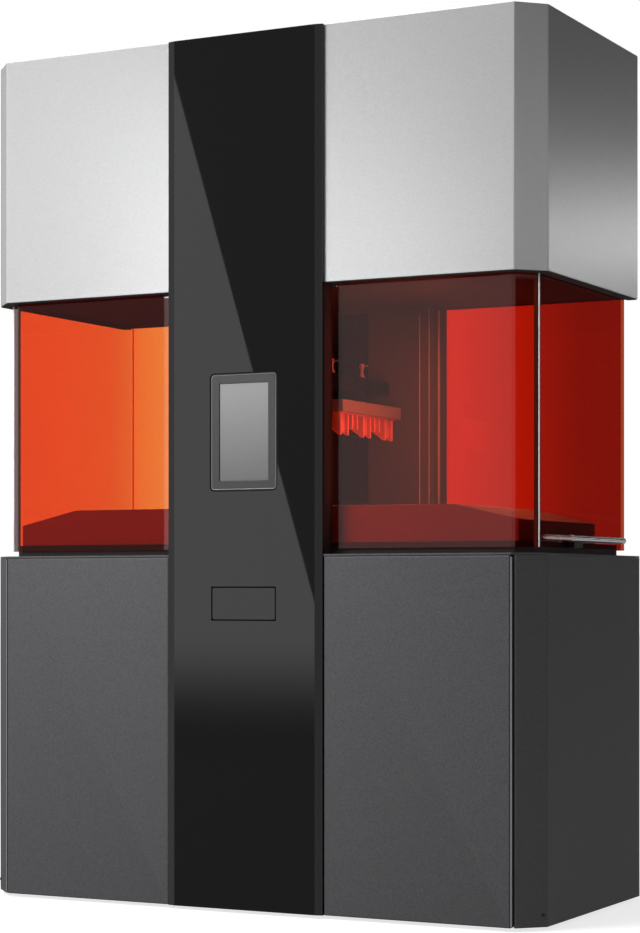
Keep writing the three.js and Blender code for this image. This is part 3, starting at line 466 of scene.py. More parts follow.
# The cap's grip is 24 ribs, half a millimetre high: 25 + 0.5 * sign(cos(24 t)).
t = np.linspace(0, math.tau, 96, endpoint=False)
grip = 25 + 0.5 * np.sign(np.cos(24 * t))
cap_profile = [
    (22.5, z1 - 20), (grip, z1 - 19.5), (grip, z1 - 2.5), (23.5, z1 - 0.4), (22, z1),
]
cap_rings = [np.stack([r * np.cos(t), r * np.sin(t), 0 * t + z], 1) for r, z in cap_profile]
cap = solid("resin_bottle_cap", shell(np.array(cap_rings) + np.asarray(middle)))
place(cap, black_plastic, "resin_cartridge", stands_in=False)

# ---------- laser and scanner ----------
# A fixed laser in the base shines over a fold mirror into the scanner, whose two small mirrors steer
# it up through the deck. The housings are black-anodised aluminium, milled, and the mirrors silvered.

black_anodised = ground_metal("black anodised aluminium, milled", "#2b2b2e", 0.42, 0.9, (1, 0.06, 1))
silvered, tree, shader, spot = finish_of(
    "first-surface mirror, silvered glass", {"Metallic": 1.0, "Base Color": linear("#eef0f2")}
)
haze = add(tree, "TexNoise", {"Vector": spot, "Scale": 1 / (15 * MM)})
wire(shader, {"Roughness": add(tree, "MapRange", {"Value": haze, "To Min": 0.01, "To Max": 0.05})})

place_eased("laser_module", black_anodised, 1.0, "laser_housing")
place_eased("galvo_block", black_anodised, 1.0, "scanner_housing")
place_eased("fold_mirror", silvered, 0.4, "fold_mirror_glass")
for node in ("scan_mirror_x", "scan_mirror_y"):
    place_eased(node, silvered, 0.3, f"{node}_glass")

# ---------- control column ----------
# A 12 mm cast acrylic front with bevelled long edges, polished all over, on a black-coated box post
# that runs from the floor to the top of the hood.

# Cast acrylic, black through and through, so it mirrors the room over a deep, even black.
black_acrylic, tree, shader, spot = finish_of(
    "cast acrylic, black, polished", {"Base Color": linear("#060607"), "IOR": 1.49}
)
haze = add(tree, "TexNoise", {"Vector": spot, "Scale": 1 / (55 * MM), "Detail": 2.0})
wire(shader, {"Roughness": add(tree, "MapRange", {"Value": haze, "To Min": 0.0, "To Max": 0.03})})

place_eased("column_frame", matt_black_coat, 0.8, "column_post")
place_eased("column_panel", black_acrylic, 1.0, "column_front", 3)

# ---------- display ----------
# A 10 inch class touch display: a thin moulded frame in a groove of the column, and bonded glass
# over the panel, which is off and shows a milky grey.


def ring_frame(corners, radius, section, steps=5):
    """A frame that faces -Y: a closed section of (inset, depth) pairs, carried round a closed line
    with round corners."""
    section = np.asarray(section, float)
    plan = bends(corners, radius, section[:, 0], steps, closed=True)
    depth = np.broadcast_to(section[:, 1], plan.shape[:2])
    return shell(np.dstack([plan[..., 0], depth, plan[..., 1]]), loop=True)


display_frame = moulded("moulded polycarbonate, dark grey satin", "#353536", 0.4, 1.2)
x0, y0, z0, x1, y1, z1 = extent("display_bezel")
rim = rectangle(x0, x1, z0, z1)
RIM_CORNER = 10.0
raised = [(4.6, y1), (4.6, y0 + 0.5), (5.0, y0 + 0.1), (21.6, y0 + 0.1), (22.4, y0 + 0.9), (22.4, y1)]
edge = [(2.6, y1), (2.6, y0 + 0.9), (3.2, y0 + 0.2), (4.0, y0), (4.6, y0 + 0.4), (4.6, y1)]
sunk = [(0.0, y1), (0.0, y0 + 1.6), (0.4, y0 + 1.2), (2.2, y0 + 1.2), (2.5, y0 + 1.6), (2.5, y1)]
rims = (("frame", display_frame, raised), ("trim", anodised, edge), ("gasket", rubber, sunk))
for word, finish, section in rims:
    mesh = solid(f"display_{word}", ring_frame(rim, RIM_CORNER, section))
    place(mesh, finish, "display_bezel", stands_in=word == "frame")

# The switched-off panel under glass: grey with a very fine cell pattern, paler to the top as
# painted light.
SCREEN_FOOT, SCREEN_HEAD = 0.933, 1.143  # metres above the floor
display_glass, tree, shader, spot = finish_of(
    "bonded display glass, satin", {"IOR": 1.5, "Specular IOR Level": 0.5}
)
# The height ramp makes the grey paler to the top: painted light.
height = add(tree, "SeparateXYZ", {"Vector": spot}).outputs["Z"]
rise = add(tree, "MapRange", {"Value": height, "From Min": SCREEN_FOOT, "From Max": SCREEN_HEAD})
cells = add(tree, "TexChecker", {"Vector": spot, "Scale": 1 / (1.6 * MM)}).outputs["Fac"]
shade = add(tree, "Math", {0: cells, 1: 0.05, 2: rise}, operation="MULTIPLY_ADD")
grey = add(tree, "Mix", {0: shade, 6: linear("#555555"), 7: linear("#777777")}, data_type="RGBA")
haze = add(tree, "TexNoise", {"Vector": spot, "Scale": 1 / (30 * MM)})
gloss = add(tree, "MapRange", {"Value": haze, "To Min": 0.16, "To Max": 0.26})
wire(shader, {"Base Color": grey, "Roughness": gloss})
x0, y0, z0, x1, y1, z1 = extent("display_screen")
pane = slab(rectangle(x0, x1, z0, z1), 4.0, (y0, y1), 0.5, "y")
place(solid("display_glass", pane), display_glass, "display_screen")

# ---------- service flap ----------
# A flap of the same acrylic hangs on two trunnions over a moulded box with two data sockets and the
# power button, a satin aluminium disc in a ring.

x0, y0, z0, x1, y1, z1 = extent("port_flap")
flap_plate = slab(rectangle(x0 + 3, x1 - 3, z0 + 1, z1 - 1), 5.0, (y0, y1), 1.4, "y")
pin_at = (0, y0 + 2, z1 - 2.5)
flap_pin = turned([(0.8, x0), (1.2, x0 + 0.4), (1.2, x1 - 0.4), (0.8, x1)], pin_at, "x", 12)
place(solid("service_flap", flap_plate, flap_pin), black_acrylic, "port_flap")
place_eased("port_box", black_plastic, 0.5, "service_box")
SOCKETS_X = (-52, -24)
tongues = [
    slab(rectangle(x + 1.2, x + 12.8, 669.6, 671.4), 0.4, (-284.5, -274), 0.3, "y", 3)
    for x in SOCKETS_X
]
place(solid("data_socket_tongues", *tongues), anodised, "port_box", stands_in=False)
x0, y0, z0, x1, y1, z1 = extent("power_button")
button = [
    (5.2, y1 - y0), (6.0, y1 - y0 - 0.5), (6.0, 3.8), (8.2, 3.6), (8.5, 3.2), (8.5, 0.8), (7.8, 0.2),
    (6.9, 0.0), (6.5, 0.35), (3.4, 0.7), (0.5, 0.9),
]
BUTTON_MIDDLE = (45.0, y0, 669.0)
cap = solid("power_button_cap", turned(button, BUTTON_MIDDLE, "y", 40))
place(cap, anodised, "power_button")

# ---------- hood shells ----------
# Two sheets of 3 mm steel, each folded at the 45 degree corner and turned in along the lower edge.
# Silver metallic powder coat: an even satin skin with fine aluminium flakes in it. A thin black
# strip under the turned-in edge, in the rubber finish, is painted shade: the shadow under the lip.

silver_coat = powder_coat(
    "silver metallic powder coat, baked", "#c0c0c1", "#cececf", 0.22, 0.52, 0.12, 2.0, bump=0.12
)

HOOD_FOLD = 6.0
HOOD_LIP = 24.5  # how far the lower edge is turned in
HOOD_CHAMFER = 54.4

for word, side in SIDES:
    node = f"hood_{word}_shell"
    x0, y0, z0, x1, y1, z1 = extent(node)
    inner, outer = sorted((abs(x0), abs(x1)))
    line = [(inner, y0), (outer - HOOD_CHAMFER, y0), (outer, y0 + HOOD_CHAMFER), (outer, y1)]
    over = z0 + SHEET
    lipped = [(0, z0), (HOOD_LIP, z0), (HOOD_LIP, over), (SHEET, over), (SHEET, z1), (0, z1)]
    section = bends(lipped, 1.2, steps=3, closed=True)
    mesh = solid(f"hood_{word}_folded_shell", folded_sheet(line, HOOD_FOLD, section, side))
    place(mesh, silver_coat, node)
    # A dark strip under the lip, in the rubber finish, is painted shade.
    strip = [(1.2, z0 - 2), (HOOD_LIP - 1, z0 - 2), (HOOD_LIP - 1, z0), (1.2, z0)]
    dark_shade_strip = folded_sheet(line, HOOD_FOLD, bends(strip, 0.8, steps=3, closed=True), side)
    place(solid(f"hood_{word}_painted_shade_strip", dark_shade_strip), rubber, node, stands_in=False)

# ---------- hood top, rear and frame ----------
# Flat sheets close the hood: the top lies between the shells, and the rear has louvre slots and the
# fan opening. A zinc-plated frame of folded channels carries both.

place_eased("hood_top", silver_coat, 0.8, "hood_top_sheet")
place_eased("hood_rear_panel", silver_coat, 0.6, "hood_rear_sheet")
place_eased("hood_frame", zinc_plate, 0.6, "hood_rear_frame")
hood_screws = solid("hood_rear_screws", *edge_screws("hood_rear_panel", 136))
place(hood_screws, zinc_plate, "hood_rear_panel", stands_in=False)

# ---------- exhaust fan ----------
# A 130 mm axial fan behind the rear panel: a moulded frame, a rotor with seven twisted blades, and a
# guard of bright chromed wire rings over the opening.

FAN_MIDDLE = (350.0, 1700.0)
place_eased("fan_frame", black_plastic, 1.0, "fan_frame_moulding")

x0, y0, z0, x1, y1, z1 = extent("fan_rotor")
rotor_radius = (x1 - x0) / 2


def blade(turn, root=20.0, tip=rotor_radius - 0.3, chord=0.62, steps=9):
    """One fan blade. Across its chord it runs from the front to the rear of the hub while it turns by
    chord radians, less so at the tip, and it is 1.6 mm thick, thinner at both edges."""
    r = np.linspace(root, tip, 6)[:, None]
    s = np.linspace(0, 1, steps)
    s = np.concatenate([s, s[::-1]])
    face = np.concatenate([np.ones(steps), -np.ones(steps)])
    thick = 0.8 * face * (0.3 + 0.7 * np.sin(s * math.pi))
    angle = turn + chord * (s - 0.5) * (1.25 - 0.5 * (r - root) / (tip - root))
    depth = y0 + 3 + (y1 - y0 - 6) * s + thick + 0 * r
    points = np.dstack([FAN_MIDDLE[0] + r * np.cos(angle), depth, FAN_MIDDLE[1] + r * np.sin(angle)])
    return shell(points)


hub = [(14, 0), (20.5, 0.4), (22, 2), (22, y1 - y0 - 1), (21, y1 - y0), (3, y1 - y0)]
blades = [blade(k * math.tau / 7) for k in range(7)]
rotor = solid("fan_rotor_blades", turned(hub, (FAN_MIDDLE[0], y0, FAN_MIDDLE[1]), "y", 40), *blades)
place(rotor, black_plastic, "fan_rotor")


def wire_ring(middle, radius, thick):
    """A closed ring of wire in a plane that faces Y: a circle of that thickness carried round one of
    that radius."""
    t = np.linspace(0, math.tau, 64, endpoint=False)[:, None]
    s = np.linspace(0, math.tau, 8, endpoint=False)
    reach = radius + thick / 2 * np.cos(s)
    points = np.dstack([reach * np.cos(t), thick / 2 * np.sin(s) + 0 * t, reach * np.sin(t)])
    return shell(points + np.asarray(middle), loop=True)


guard_y = extent("hood_rear_panel")[4] + 1.6
guard_middle = (FAN_MIDDLE[0], guard_y, FAN_MIDDLE[1])
rings = [wire_ring(guard_middle, radius, 2.0) for radius in (14, 26, 38, 50, 62)]
# Four arms of 2 mm wire, at 45 degrees, lie across the rings.
t = np.linspace(0, math.tau, 8, endpoint=False)[:, None]
arms = []
for turn in (0.25, 0.75, 1.25, 1.75):
    along = np.array([math.cos(turn * math.pi), 0, math.sin(turn * math.pi)])
    across = np.array([-along[2], 0, along[0]])
    foot = guard_middle + np.array([0, 1.8, 0]) + np.cos(t) * across + np.sin(t) * [[0, 1, 0]]
    arms.append(shell([foot + along * reach for reach in (0.0, 30.0, 66.0)]))
place(solid("fan_guard", *rings, *arms), polished, "hood_rear_panel", stands_in=False)

place_eased("control_box", zinc_plate, 1.0, "control_box_case")

# ---------- windows ----------
# Front windows of 8 mm cast acrylic, heat-bent round the corner, and flat side and rear panes of the
# same sheet with polished edges. The orange-red dye stops the blue and violet that cure the resin.


def dyed_acrylic(name, tint, rough=0.01):
    """Dyed clear acrylic. By Fresnel at IOR 1.49 a surface reflects, and the rest goes straight
    through and takes the tint, which is the square root of what the whole pane lets pass. The light
    isn't bent inside, so the index is turned over there, and both faces reflect alike."""
    material, tree, shader, spot = finish_of(name, {})
    tree.nodes.remove(shader)
    batch = add(tree, "TexNoise", {"Vector": spot, "Scale": 1 / (180 * MM), "Detail": 2.0})
    deep = tuple(c * 0.97 for c in tint) + (1.0,)
    through = add(tree, "Mix", {0: batch, 6: deep, 7: (*tint, 1.0)}, data_type="RGBA")
    clear = add(tree, "BsdfTransparent", {"Color": through})
    gloss = add(tree, "BsdfGlossy", {"Roughness": rough, "Color": (1, 1, 1, 1)})
    inside = add(tree, "NewGeometry").outputs["Backfacing"]
    index = add(tree, "Mix", {0: inside, 2: 1.49, 3: 1 / 1.49})
    both = add(tree, "MixShader", {0: add(tree, "Fresnel", {"IOR": index}), 1: clear, 2: gloss})
    wire(tree.nodes["Material Output"], {"Surface": both})
    return material


# Seen through, a bright red-orange; each face of it mirrors the room weakly.
orange_acrylic = dyed_acrylic("cast acrylic, orange-red, 8 mm", (0.872, 0.32, 0.2))

PANE = 8.0
PANE_FOLD = 12.0
PANE_EDGE = 0.6
PANE_BEND_X = 613.4  # where the front turns back at 45 degrees

for word, side in SIDES:
    node = f"{word}_front_window"
    x0, y0, z0, x1, y1, z1 = extent(node)
    inner, outer = sorted((abs(x0), abs(x1)))
    line = [(inner, y0), (PANE_BEND_X, y0), (outer, y0 + outer - PANE_BEND_X)]
    section = sheet_section(z0, z1, PANE, PANE_EDGE)
    mesh = solid(f"{word}_bent_window", folded_sheet(line, PANE_FOLD, section, side))
    place(mesh, orange_acrylic, node)

for node in ("left_side_window", "right_sash"):
    x0, y0, z0, x1, y1, z1 = extent(node)
    pane = slab(rectangle(y0, y1, z0, z1), 3.0, (x0, x1), PANE_EDGE, "x")
    place(solid(f"{node}_pane", pane), orange_acrylic, node)

x0, y0, z0, x1, y1, z1 = extent("rear_window")
pane = slab(rectangle(x0, x1, z0, z1), 2.0, (y0, y1), PANE_EDGE, "y")
place(solid("rear_window_pane", pane), orange_acrylic, "rear_window")

# ---------- window channels and clips ----------
# Each side pane stands in a folded channel with the graphite coat. A white bead on its outer corner
# is a painted highlight line. Small chromed clips hold the front windows at the hood's edge.

# White, for the painted highlight line on each window's outer corner.
highlight_white_coat = powder_coat(
    "white coat for a painted highlight line", "#f0f3f3", "#fbfdfd", 0.35, 0.0, 0.05
)
for word, side in SIDES:
    node = f"{word}_window_channel"
    place_eased(node, graphite_coat, 0.4, f"{word}_pane_channel")
    x0, y0, z0, x1, y1, z1 = extent(node)
    outside = max(abs(x0), abs(x1))
    near, far = sorted((side * (outside - 1.7), side * (outside + 0.2)))
    bead = slab(rectangle(near, far, y0 - 0.7, y0 + 2.4), 0.6, (z0, z1), 0.3)
    place(solid(f"{word}_painted_highlight_bead", bead), highlight_white_coat, node, stands_in=False)

CLIPS_X = (-218.0, 199.0)
CLIP_ENDS = (1344.5, 1352.4)
clips = [slab(rectangle(x - 7, x + 7, -274.2, -262), 1.5, CLIP_ENDS, 0.8) for x in CLIPS_X]
place(solid("window_clips", *clips), polished, "hood_left_shell", stands_in=False)

# ---------- sash handle ----------
# A turned bar along the foot of the right sash: its rear is polished chrome plate, and its front a
# rose-toned sleeve that ends in a point. Two posts and a lock block tie it to the pane.

sleeve = ground_metal("turned aluminium, rose anodised", "#f6cfc8", 0.3, 0.6, (1, 0.05, 1), 0.05)
BAR = (663.0, 0, 808.0)  # its axis, in X and Z
COLLAR = -76.0  # where the sleeve meets the chromed rear

x0, y0, z0, x1, y1, z1 = extent("right_sash_handle")
front = [
    (0.3, y0), (1.6, y0 + 2.0), (3.4, y0 + 6), (5.0, y0 + 12), (5.8, y0 + 18), (5.8, -165),
    (4.4, -164), (4.4, -159), (5.8, -158), (5.8, COLLAR - 13), (6.4, COLLAR - 10),
    (6.4, COLLAR - 7.2),
]
rear = [
    (6.4, COLLAR - 7), (7.8, COLLAR - 6.4), (8.3, COLLAR - 4), (8.3, COLLAR - 1), (7.2, COLLAR + 3),
    (7.0, COLLAR + 5), (7.0, y1 - 3), (6.2, y1 - 0.8), (4.5, y1),
]
stub = [(7.5, 0), (7.5, 1.2), (4.4, 2.0), (4.4, 12.0)]
posts = [turned(stub, (x0, y, BAR[2]), "x", 24) for y in (-40.0, 200.0)]
bar = solid("sash_handle_bar", turned(rear, BAR, "y", 40), *posts)
place(bar, polished, "right_sash_handle")
tip = solid("sash_handle_sleeve", turned(front, BAR, "y", 40))
place(tip, sleeve, "right_sash_handle", stands_in=False)
lock = solid("sash_handle_lock", slab(rectangle(x0, 666.5, -70, -20), 2.0, (z0, 801.5), 0.8))
place(lock, black_anodised, "right_sash_handle", stands_in=False)

# ---------- plinth, bench and ceiling ----------
# Folded sheet below and above the chamber, in dull coats that don't throw laser light about. The
# bench round the tank has sloped shoulders.

anthracite_coat = powder_coat("anthracite powder coat, baked", "#3c3a3b", "#4a4748", 0.5, 0.0, 0.12)
# Lighter and greyer than the tower, so its front edge shows clearly through the window; the light
# tone is partly painted light, for the light that the bench's front catches.
bench_coat = powder_coat("stone grey powder coat, baked", "#7c7677", "#8e8889", 0.45, 0.0, 0.15)
place_eased("plinth", matt_black_coat, 1.0, "plinth_sheet")
place_eased("bench", bench_coat, 1.4, "bench_sheet")
place_eased("chamber_ceiling", anthracite_coat, 0.8, "chamber_ceiling_sheet")

# ---------- Z tower ----------
# A welded channel with a slotted cover carries two profile rails and the ball screw. Pale grey
# strips on its right-hand corner are painted highlight lines. The motor stands above the ceiling.

place_eased("tower_frame", anthracite_coat, 1.2, "tower_channel")
place_eased("tower_cover", anthracite_coat, 0.5, "tower_cover_sheet")
# Their pale colour paints the bright lines along the tower's edges.
pale_highlight_finish = moulded("light grey, painted highlight lines", "#a5a19d", 0.4, 1.0, 0.1)
x0, y0, z0, x1, y1, z1 = extent("tower_cover")
STRIP_FOOT = 884.0
strips = [
    slab(rectangle(x - 0.9, x + 0.9, y0 - 1.6, y0 - 0.1), 0.5, (STRIP_FOOT, top), 0.4)
    for x, top in ((184.5, 1334.0), (208.5, 1352.0))
]
strips.append(slab(rectangle(x1 + 0.1, x1 + 1.6, 217.0, 226.0), 0.5, (STRIP_FOOT, 1345.0), 0.4))
place(solid("tower_highlight_strips", *strips), pale_highlight_finish, "tower_cover", stands_in=False)

ground_steel = ground_metal("hardened steel, ground", "#b9babc", 0.16, 0.7, (1, 1, 0.04), 0.07)
for word in ("left", "right"):
    node = f"{word}_rail"
    x0, y0, z0, x1, y1, z1 = extent(node)
    half = (x1 - x0) / 2
    middle = (x0 + x1) / 2
    waist = half * 0.74  # between the rail's foot and its head
    left_half = [
        (-half, y1), (-half, y1 - 3.2), (-waist, y1 - 4.8), (-waist, y1 - 7.0), (-half, y1 - 8.6),
        (-half, y0 + 1.2), (-half + 1.2, y0),
    ]
    profile = np.array([*left_half, *[(-x, y) for x, y in left_half[::-1]]])
    profile[:, 0] += middle
    rail = shell([np.insert(profile, 2, z, axis=1) for z in (z0, z1)])
    plug = [(0.6, y0 - 0.25), (4.4, y0 - 0.25), (4.8, y0 - 0.05), (4.8, y0 + 0.6)]
    caps = [turned(plug, (middle, 0, z), "y", 18) for z in np.arange(z0 + 30, z1 - 10, 60.0)]
    place(solid(f"{word}_profile_rail", rail), ground_steel, node)
    place(solid(f"{word}_rail_plugs", *caps), black_plastic, node, stands_in=False)

# ---------- ball screw and motor ----------
# A 20 mm rolled screw with a 20 mm lead, so its groove is long and shallow. A NEMA-pattern servo
# motor with a ribbed back turns it from above.

x0, y0, z0, x1, y1, z1 = extent("ball_screw")
LEAD = 20.0
SCREW_AXIS = (0, 228, 0)
z = np.arange(z0 + 26, z1 - 32, 1.25)[:, None]
t = np.linspace(0, math.tau, 28, endpoint=False)
# Two starts: the radius is 10 - 1.5 * max(cos(2 (t - turn of the thread at z)), 0) ** 2.
radius = 10 - 1.5 * np.clip(np.cos(2 * (t - math.tau * z / LEAD)), 0, 1) ** 2
thread = shell(np.dstack([radius * np.cos(t), 228 + radius * np.sin(t), z + 0 * t]))
# Phosphated after rolling, so it is dull and dark grey.
phosphated = ground_metal("rolled steel, phosphated", "#5c5c5f", 0.55, 1.0, (1, 1, 0.3), 0.08)
lower = turned([(5, z0), (6, z0 + 1), (6, z0 + 14), (8, z0 + 14.5), (8, z0 + 26.2)], SCREW_AXIS)
upper = turned([(8, z1 - 33), (8, z1 - 20), (5, z1 - 19.5), (5, z1 - 1), (4, z1)], SCREW_AXIS)
place(solid("ball_screw_thread", thread, lower, upper), phosphated, "ball_screw")
place_eased("screw_motor", black_anodised, 2.0, "screw_motor_case")

# ---------- carriage and head arm ----------
# Milled aluminium, black anodised: a carriage on four runner blocks, and an arm with a T-slot that
# reaches forward over the tank.

place_eased("z_carriage", black_anodised, 1.2, "z_carriage_plate")
place_eased("head_arm", black_anodised, 1.6, "head_arm_plate")

# ---------- build platform and print ----------
# The platform is a cast aluminium plate, bead-blasted so that the resin grips it. A print hangs
# under it: a raft with five large and small hollow fins, cured photopolymer straight from the tank.

# Blasting leaves a matt skin that scatters light much as paint does.
blasted = ground_metal("cast aluminium, bead-blasted", "#d6d6d8", 0.6, 1.0, metal=0.82)
platform = place_eased("build_platform", blasted, 1.2, "build_platform_plate")
# The T-rail bolted on top of the plate is black anodised.
PLATE_TOP = 1118.5 * MM
platform.data.materials.append(black_anodised)
middles = np.empty(len(platform.data.polygons) * 3)
platform.data.polygons.foreach_get("center", middles)
on_rail = middles.reshape(-1, 3)[:, 2] > PLATE_TOP
platform.data.polygons.foreach_set("material_index", on_rail.astype(np.int32))

# Translucent and waxy; it glows where light comes through the thin fins.
cured_resin, tree, shader, spot = finish_of(
    "cured photopolymer, translucent orange",
    {"IOR": 1.5, "Subsurface Weight": 0.35, "Subsurface Scale": 0.01, "Coat Weight": 0.3},
)
shader.inputs["Coat Roughness"].default_value = 0.15
printed = {"Vector": spot, "Scale": 1 / (1.2 * MM) / math.tau, "Distortion": 0.3}
layers = add(tree, "TexWave", printed, bands_direction="Z").outputs["Fac"]
blotch = add(tree, "TexNoise", {"Vector": spot, "Scale": 1 / (25 * MM)})
colour = add(tree, "Mix", {0: blotch, 6: linear("#b05c30"), 7: linear("#c87a48")}, data_type="RGBA")
gloss = add(tree, "MapRange", {"Value": layers, "To Min": 0.3, "To Max": 0.42})
relief = add(tree, "Bump", {"Height": layers, "Strength": 0.3, "Distance": 0.2 * MM})
wire(shader, {"Base Color": colour, "Roughness": gloss, "Normal": relief})
# The thin edges glow with emission: a painted glow for the light that runs inside the resin and comes
# out there.
painted_glow_resin = cured_resin.copy()
painted_glow_resin.name = "cured photopolymer, painted glow on thin edges"
painted_edge_glow = {"Emission Color": linear("#ff8a4a"), "Emission Strength": 0.25}
wire(painted_glow_resin.node_tree.nodes["Principled BSDF"], painted_edge_glow)

x0, y0, z0, x1, y1, z1 = extent("sample_print")


def gusset(right, reach, drop):
    """Outline of a fin in X and Z, from its toe round under the curve to its heel. The curve falls as
    the 1.8th power of the way along."""
    s = np.linspace(0, 1, 9)
    under = np.stack([right - reach + (reach - 6) * s, z1 - 7 - (drop - 7) * s**1.8], 1)
    return [(right - reach, z1 - 1), *under, (right, z1 - drop), (right, z1 - 1)]


def prism(line, inset, y_from, y_to):
    """The outline moved in by inset and drawn out along Y."""
    plan = bends(line, 0.5, inset, 2, closed=True)
    return shell([np.insert(plan, 1, y, axis=1) for y in (y_from, y_to)])


LARGE_FIN, SMALL_FIN = (100, 50, 40), (66, 34, 30)  # reach in X, drop, and width in Y
FIN_PITCH = 56
HEEL = 140.0
raft = slab(rectangle(x0, x1, y0, y1), 3.0, (z1 - 3, z1), 0.8)
bodies, lips = [raft], []
for k, (reach, drop, wide) in enumerate([LARGE_FIN, SMALL_FIN] * 2 + [LARGE_FIN]):
    near = y0 + 2 + FIN_PITCH * k
    bodies.append(prism(gusset(HEEL - 9, reach - 12, drop - 6), 0.0, near + 4, near + wide - 4))
    for cheek in (near, near + wide - 5):
        bodies.append(prism(gusset(HEEL, reach, drop), 1.9, cheek + 0.6, cheek + 4.4))
        band = [(0.0, cheek), (0.0, cheek + 5), (2.0, cheek + 5), (2.0, cheek)]
        lips.append(ring_frame(gusset(HEEL, reach, drop), 0.5, band, 2))
place(solid("sample_print_fins", *bodies), cured_resin, "sample_print")
# The lips round the fins carry the painted glow.
place(solid("sample_print_edges", *lips), painted_glow_resin, "sample_print", stands_in=False)

# ---------- clamp knobs ----------
# Two turned knobs clamp the platform in the T-slot: a cone, a stem with a grip and a small lever,
# machined from stainless steel.

turned_steel = ground_metal(
    "stainless steel, turned", "#e2e2e3", 0.34, 0.5, (1, 1, 0.2), 0.06, metal=0.8
)
for word in ("front", "rear"):
    node = f"{word}_clamp_knob"
    x0, y0, z0, x1, y1, z1 = extent(node)
    half = (y1 - y0) / 2
    axis_x, axis_y = x0 + half, (y0 + y1) / 2
    foot = [(1.0, z0), (1.0, z0 + 1.5), (0.9, z0 + 3), (0.55, z0 + 9), (0.42, z0 + 12)]
    grip = [
        (0.42, z1 - 12), (0.6, z1 - 11), (0.66, z1 - 9), (0.66, z1 - 2), (0.55, z1 - 0.4), (0.3, z1),
    ]
    knob = turned([(half * share, z) for share, z in foot + grip], (axis_x, axis_y, 0), "z", 40)
    reach = x1 - axis_x
    arm = [(1.6, 0), (2.0, 0.6), (2.0, reach - 3), (1.2, reach)]
    lever = turned(arm, (axis_x, axis_y, z1 - 5.5), "x", 16)
    place(solid(f"{word}_clamp_knob_turned", knob, lever), turned_steel, node)

# ---------- resin tank ----------
# A vat of milled aluminium with a rolled rim to lift it by, and a clear window of optical glass in
# its floor, through which the laser draws.

place_eased("resin_tank", anodised, 1.4, "resin_tank_body")
optical_glass = dyed_acrylic("optical glass, polished", (0.97, 0.985, 0.98), 0.0)
place_eased("tank_window", optical_glass, 0.5, "tank_window_glass")

# ---------- studio ----------
# A pale floor before a white backdrop, with soft boxes at the front left and above. Two tall cards
# stand out of view on the left, where the gloss column and the right window mirror them.

floor_mesh = bpy.data.meshes.new("floor")
floor_mesh.from_pydata([(-30, -30, 0), (30, -30, 0), (30, 30, 0), (-30, 30, 0)], [], [(0, 1, 2, 3)])
floor = put("floor", floor_mesh)
floor_paint, tree, shader, *_ = finish_of(
    "studio floor, matt white",
    {"Roughness": 0.9, "Base Color": linear("#bdbdbd"), "Emission Color": (1, 1, 1, 1)},
)
watched = add(tree, "LightPath").outputs["Is Camera Ray"]
lift = add(tree, "Math", {0: watched, 1: 0.75}, operation="MULTIPLY")
wire(shader, {"Emission Strength": lift})
floor_mesh.materials.append(floor_paint)
floor.visible_glossy = False

world = bpy.data.worlds.new("studio")
bpy.context.scene.world = world
world.use_nodes = True
sky = world.node_tree
background = sky.nodes["Background"]
toward = add(sky, "TexCoord").outputs["Generated"]
split = add(sky, "SeparateXYZ", {"Vector": toward})
back = add(sky, "Math", {0: split.outputs["Y"], 1: -1.0}, operation="MULTIPLY")
round_angle = add(sky, "Math", {0: split.outputs["X"], 1: back}, operation="ARCTAN2")


def ramp(tree, value, stops):
    """A piecewise linear function of value, through (place, result) pairs, with places in 0 to 1."""
    made = add(tree, "ValToRGB", {"Fac": value})
    elements = made.color_ramp.elements
    while len(elements) > 1:
        elements.remove(elements[-1])
    for k, (where, result) in enumerate(stops):
        element = elements[0] if k == 0 else elements.new(where)
        element.position = where
        element.color = (result, result, result, 1)
    return made


full_turn = {"From Min": -math.pi, "From Max": math.pi}
turn_share = add(sky, "MapRange", {"Value": round_angle, **full_turn})


def share_of(degrees):
    """Where an angle round from the front, to the right, lies in the turn share."""
    return (degrees + 180) / 360


# What lights and mirrors see, round from the back over left, front and right to the back again. On
# the right it is bright only in a low band, as a wall is that catches light from the floor.
ROOM = [
    (-180, 0.30), (-150, 0.2), (-126, 0.1), (-122.5, 0.62), (-119, 0.62), (-117, 0.1), (-100, 0.1),
    (-86, 0.75), (-55, 0.75), (-42, 0.25), (-12, 0.25), (0, 0.6), (25, 0.5), (45, 0.75), (75, 0.75),
    (100, 0.3), (103, 1.8), (110, 1.8), (113, 0.4), (130, 0.6), (165, 0.85), (180, 0.3),
]
room = ramp(sky, turn_share, [(share_of(a), v) for a, v in ROOM])
low_to_high = {"From Min": -0.5, "From Max": 0.5}
height_share = add(sky, "MapRange", {"Value": split.outputs["Z"], **low_to_high})
BAND = [
    (-0.5, 0.5), (-0.03, 0.5), (0.0, 0.02), (0.132, 0.02), (0.137, 5.2), (0.15, 4.0), (0.156, 0.05),
    (0.5, 0.02),
]
band = ramp(sky, height_share, [(z + 0.5, v) for z, v in BAND])
RIGHT = [(30, 0.0), (50, 1.0), (172, 1.0), (180, 0.0)]
on_right = ramp(sky, turn_share, [(share_of(a), v) for a, v in RIGHT])
band_here = add(sky, "Mix", {0: on_right, 2: 1.0, 3: band})
lit_room = add(sky, "Math", {0: room, 1: band_here}, operation="MULTIPLY")

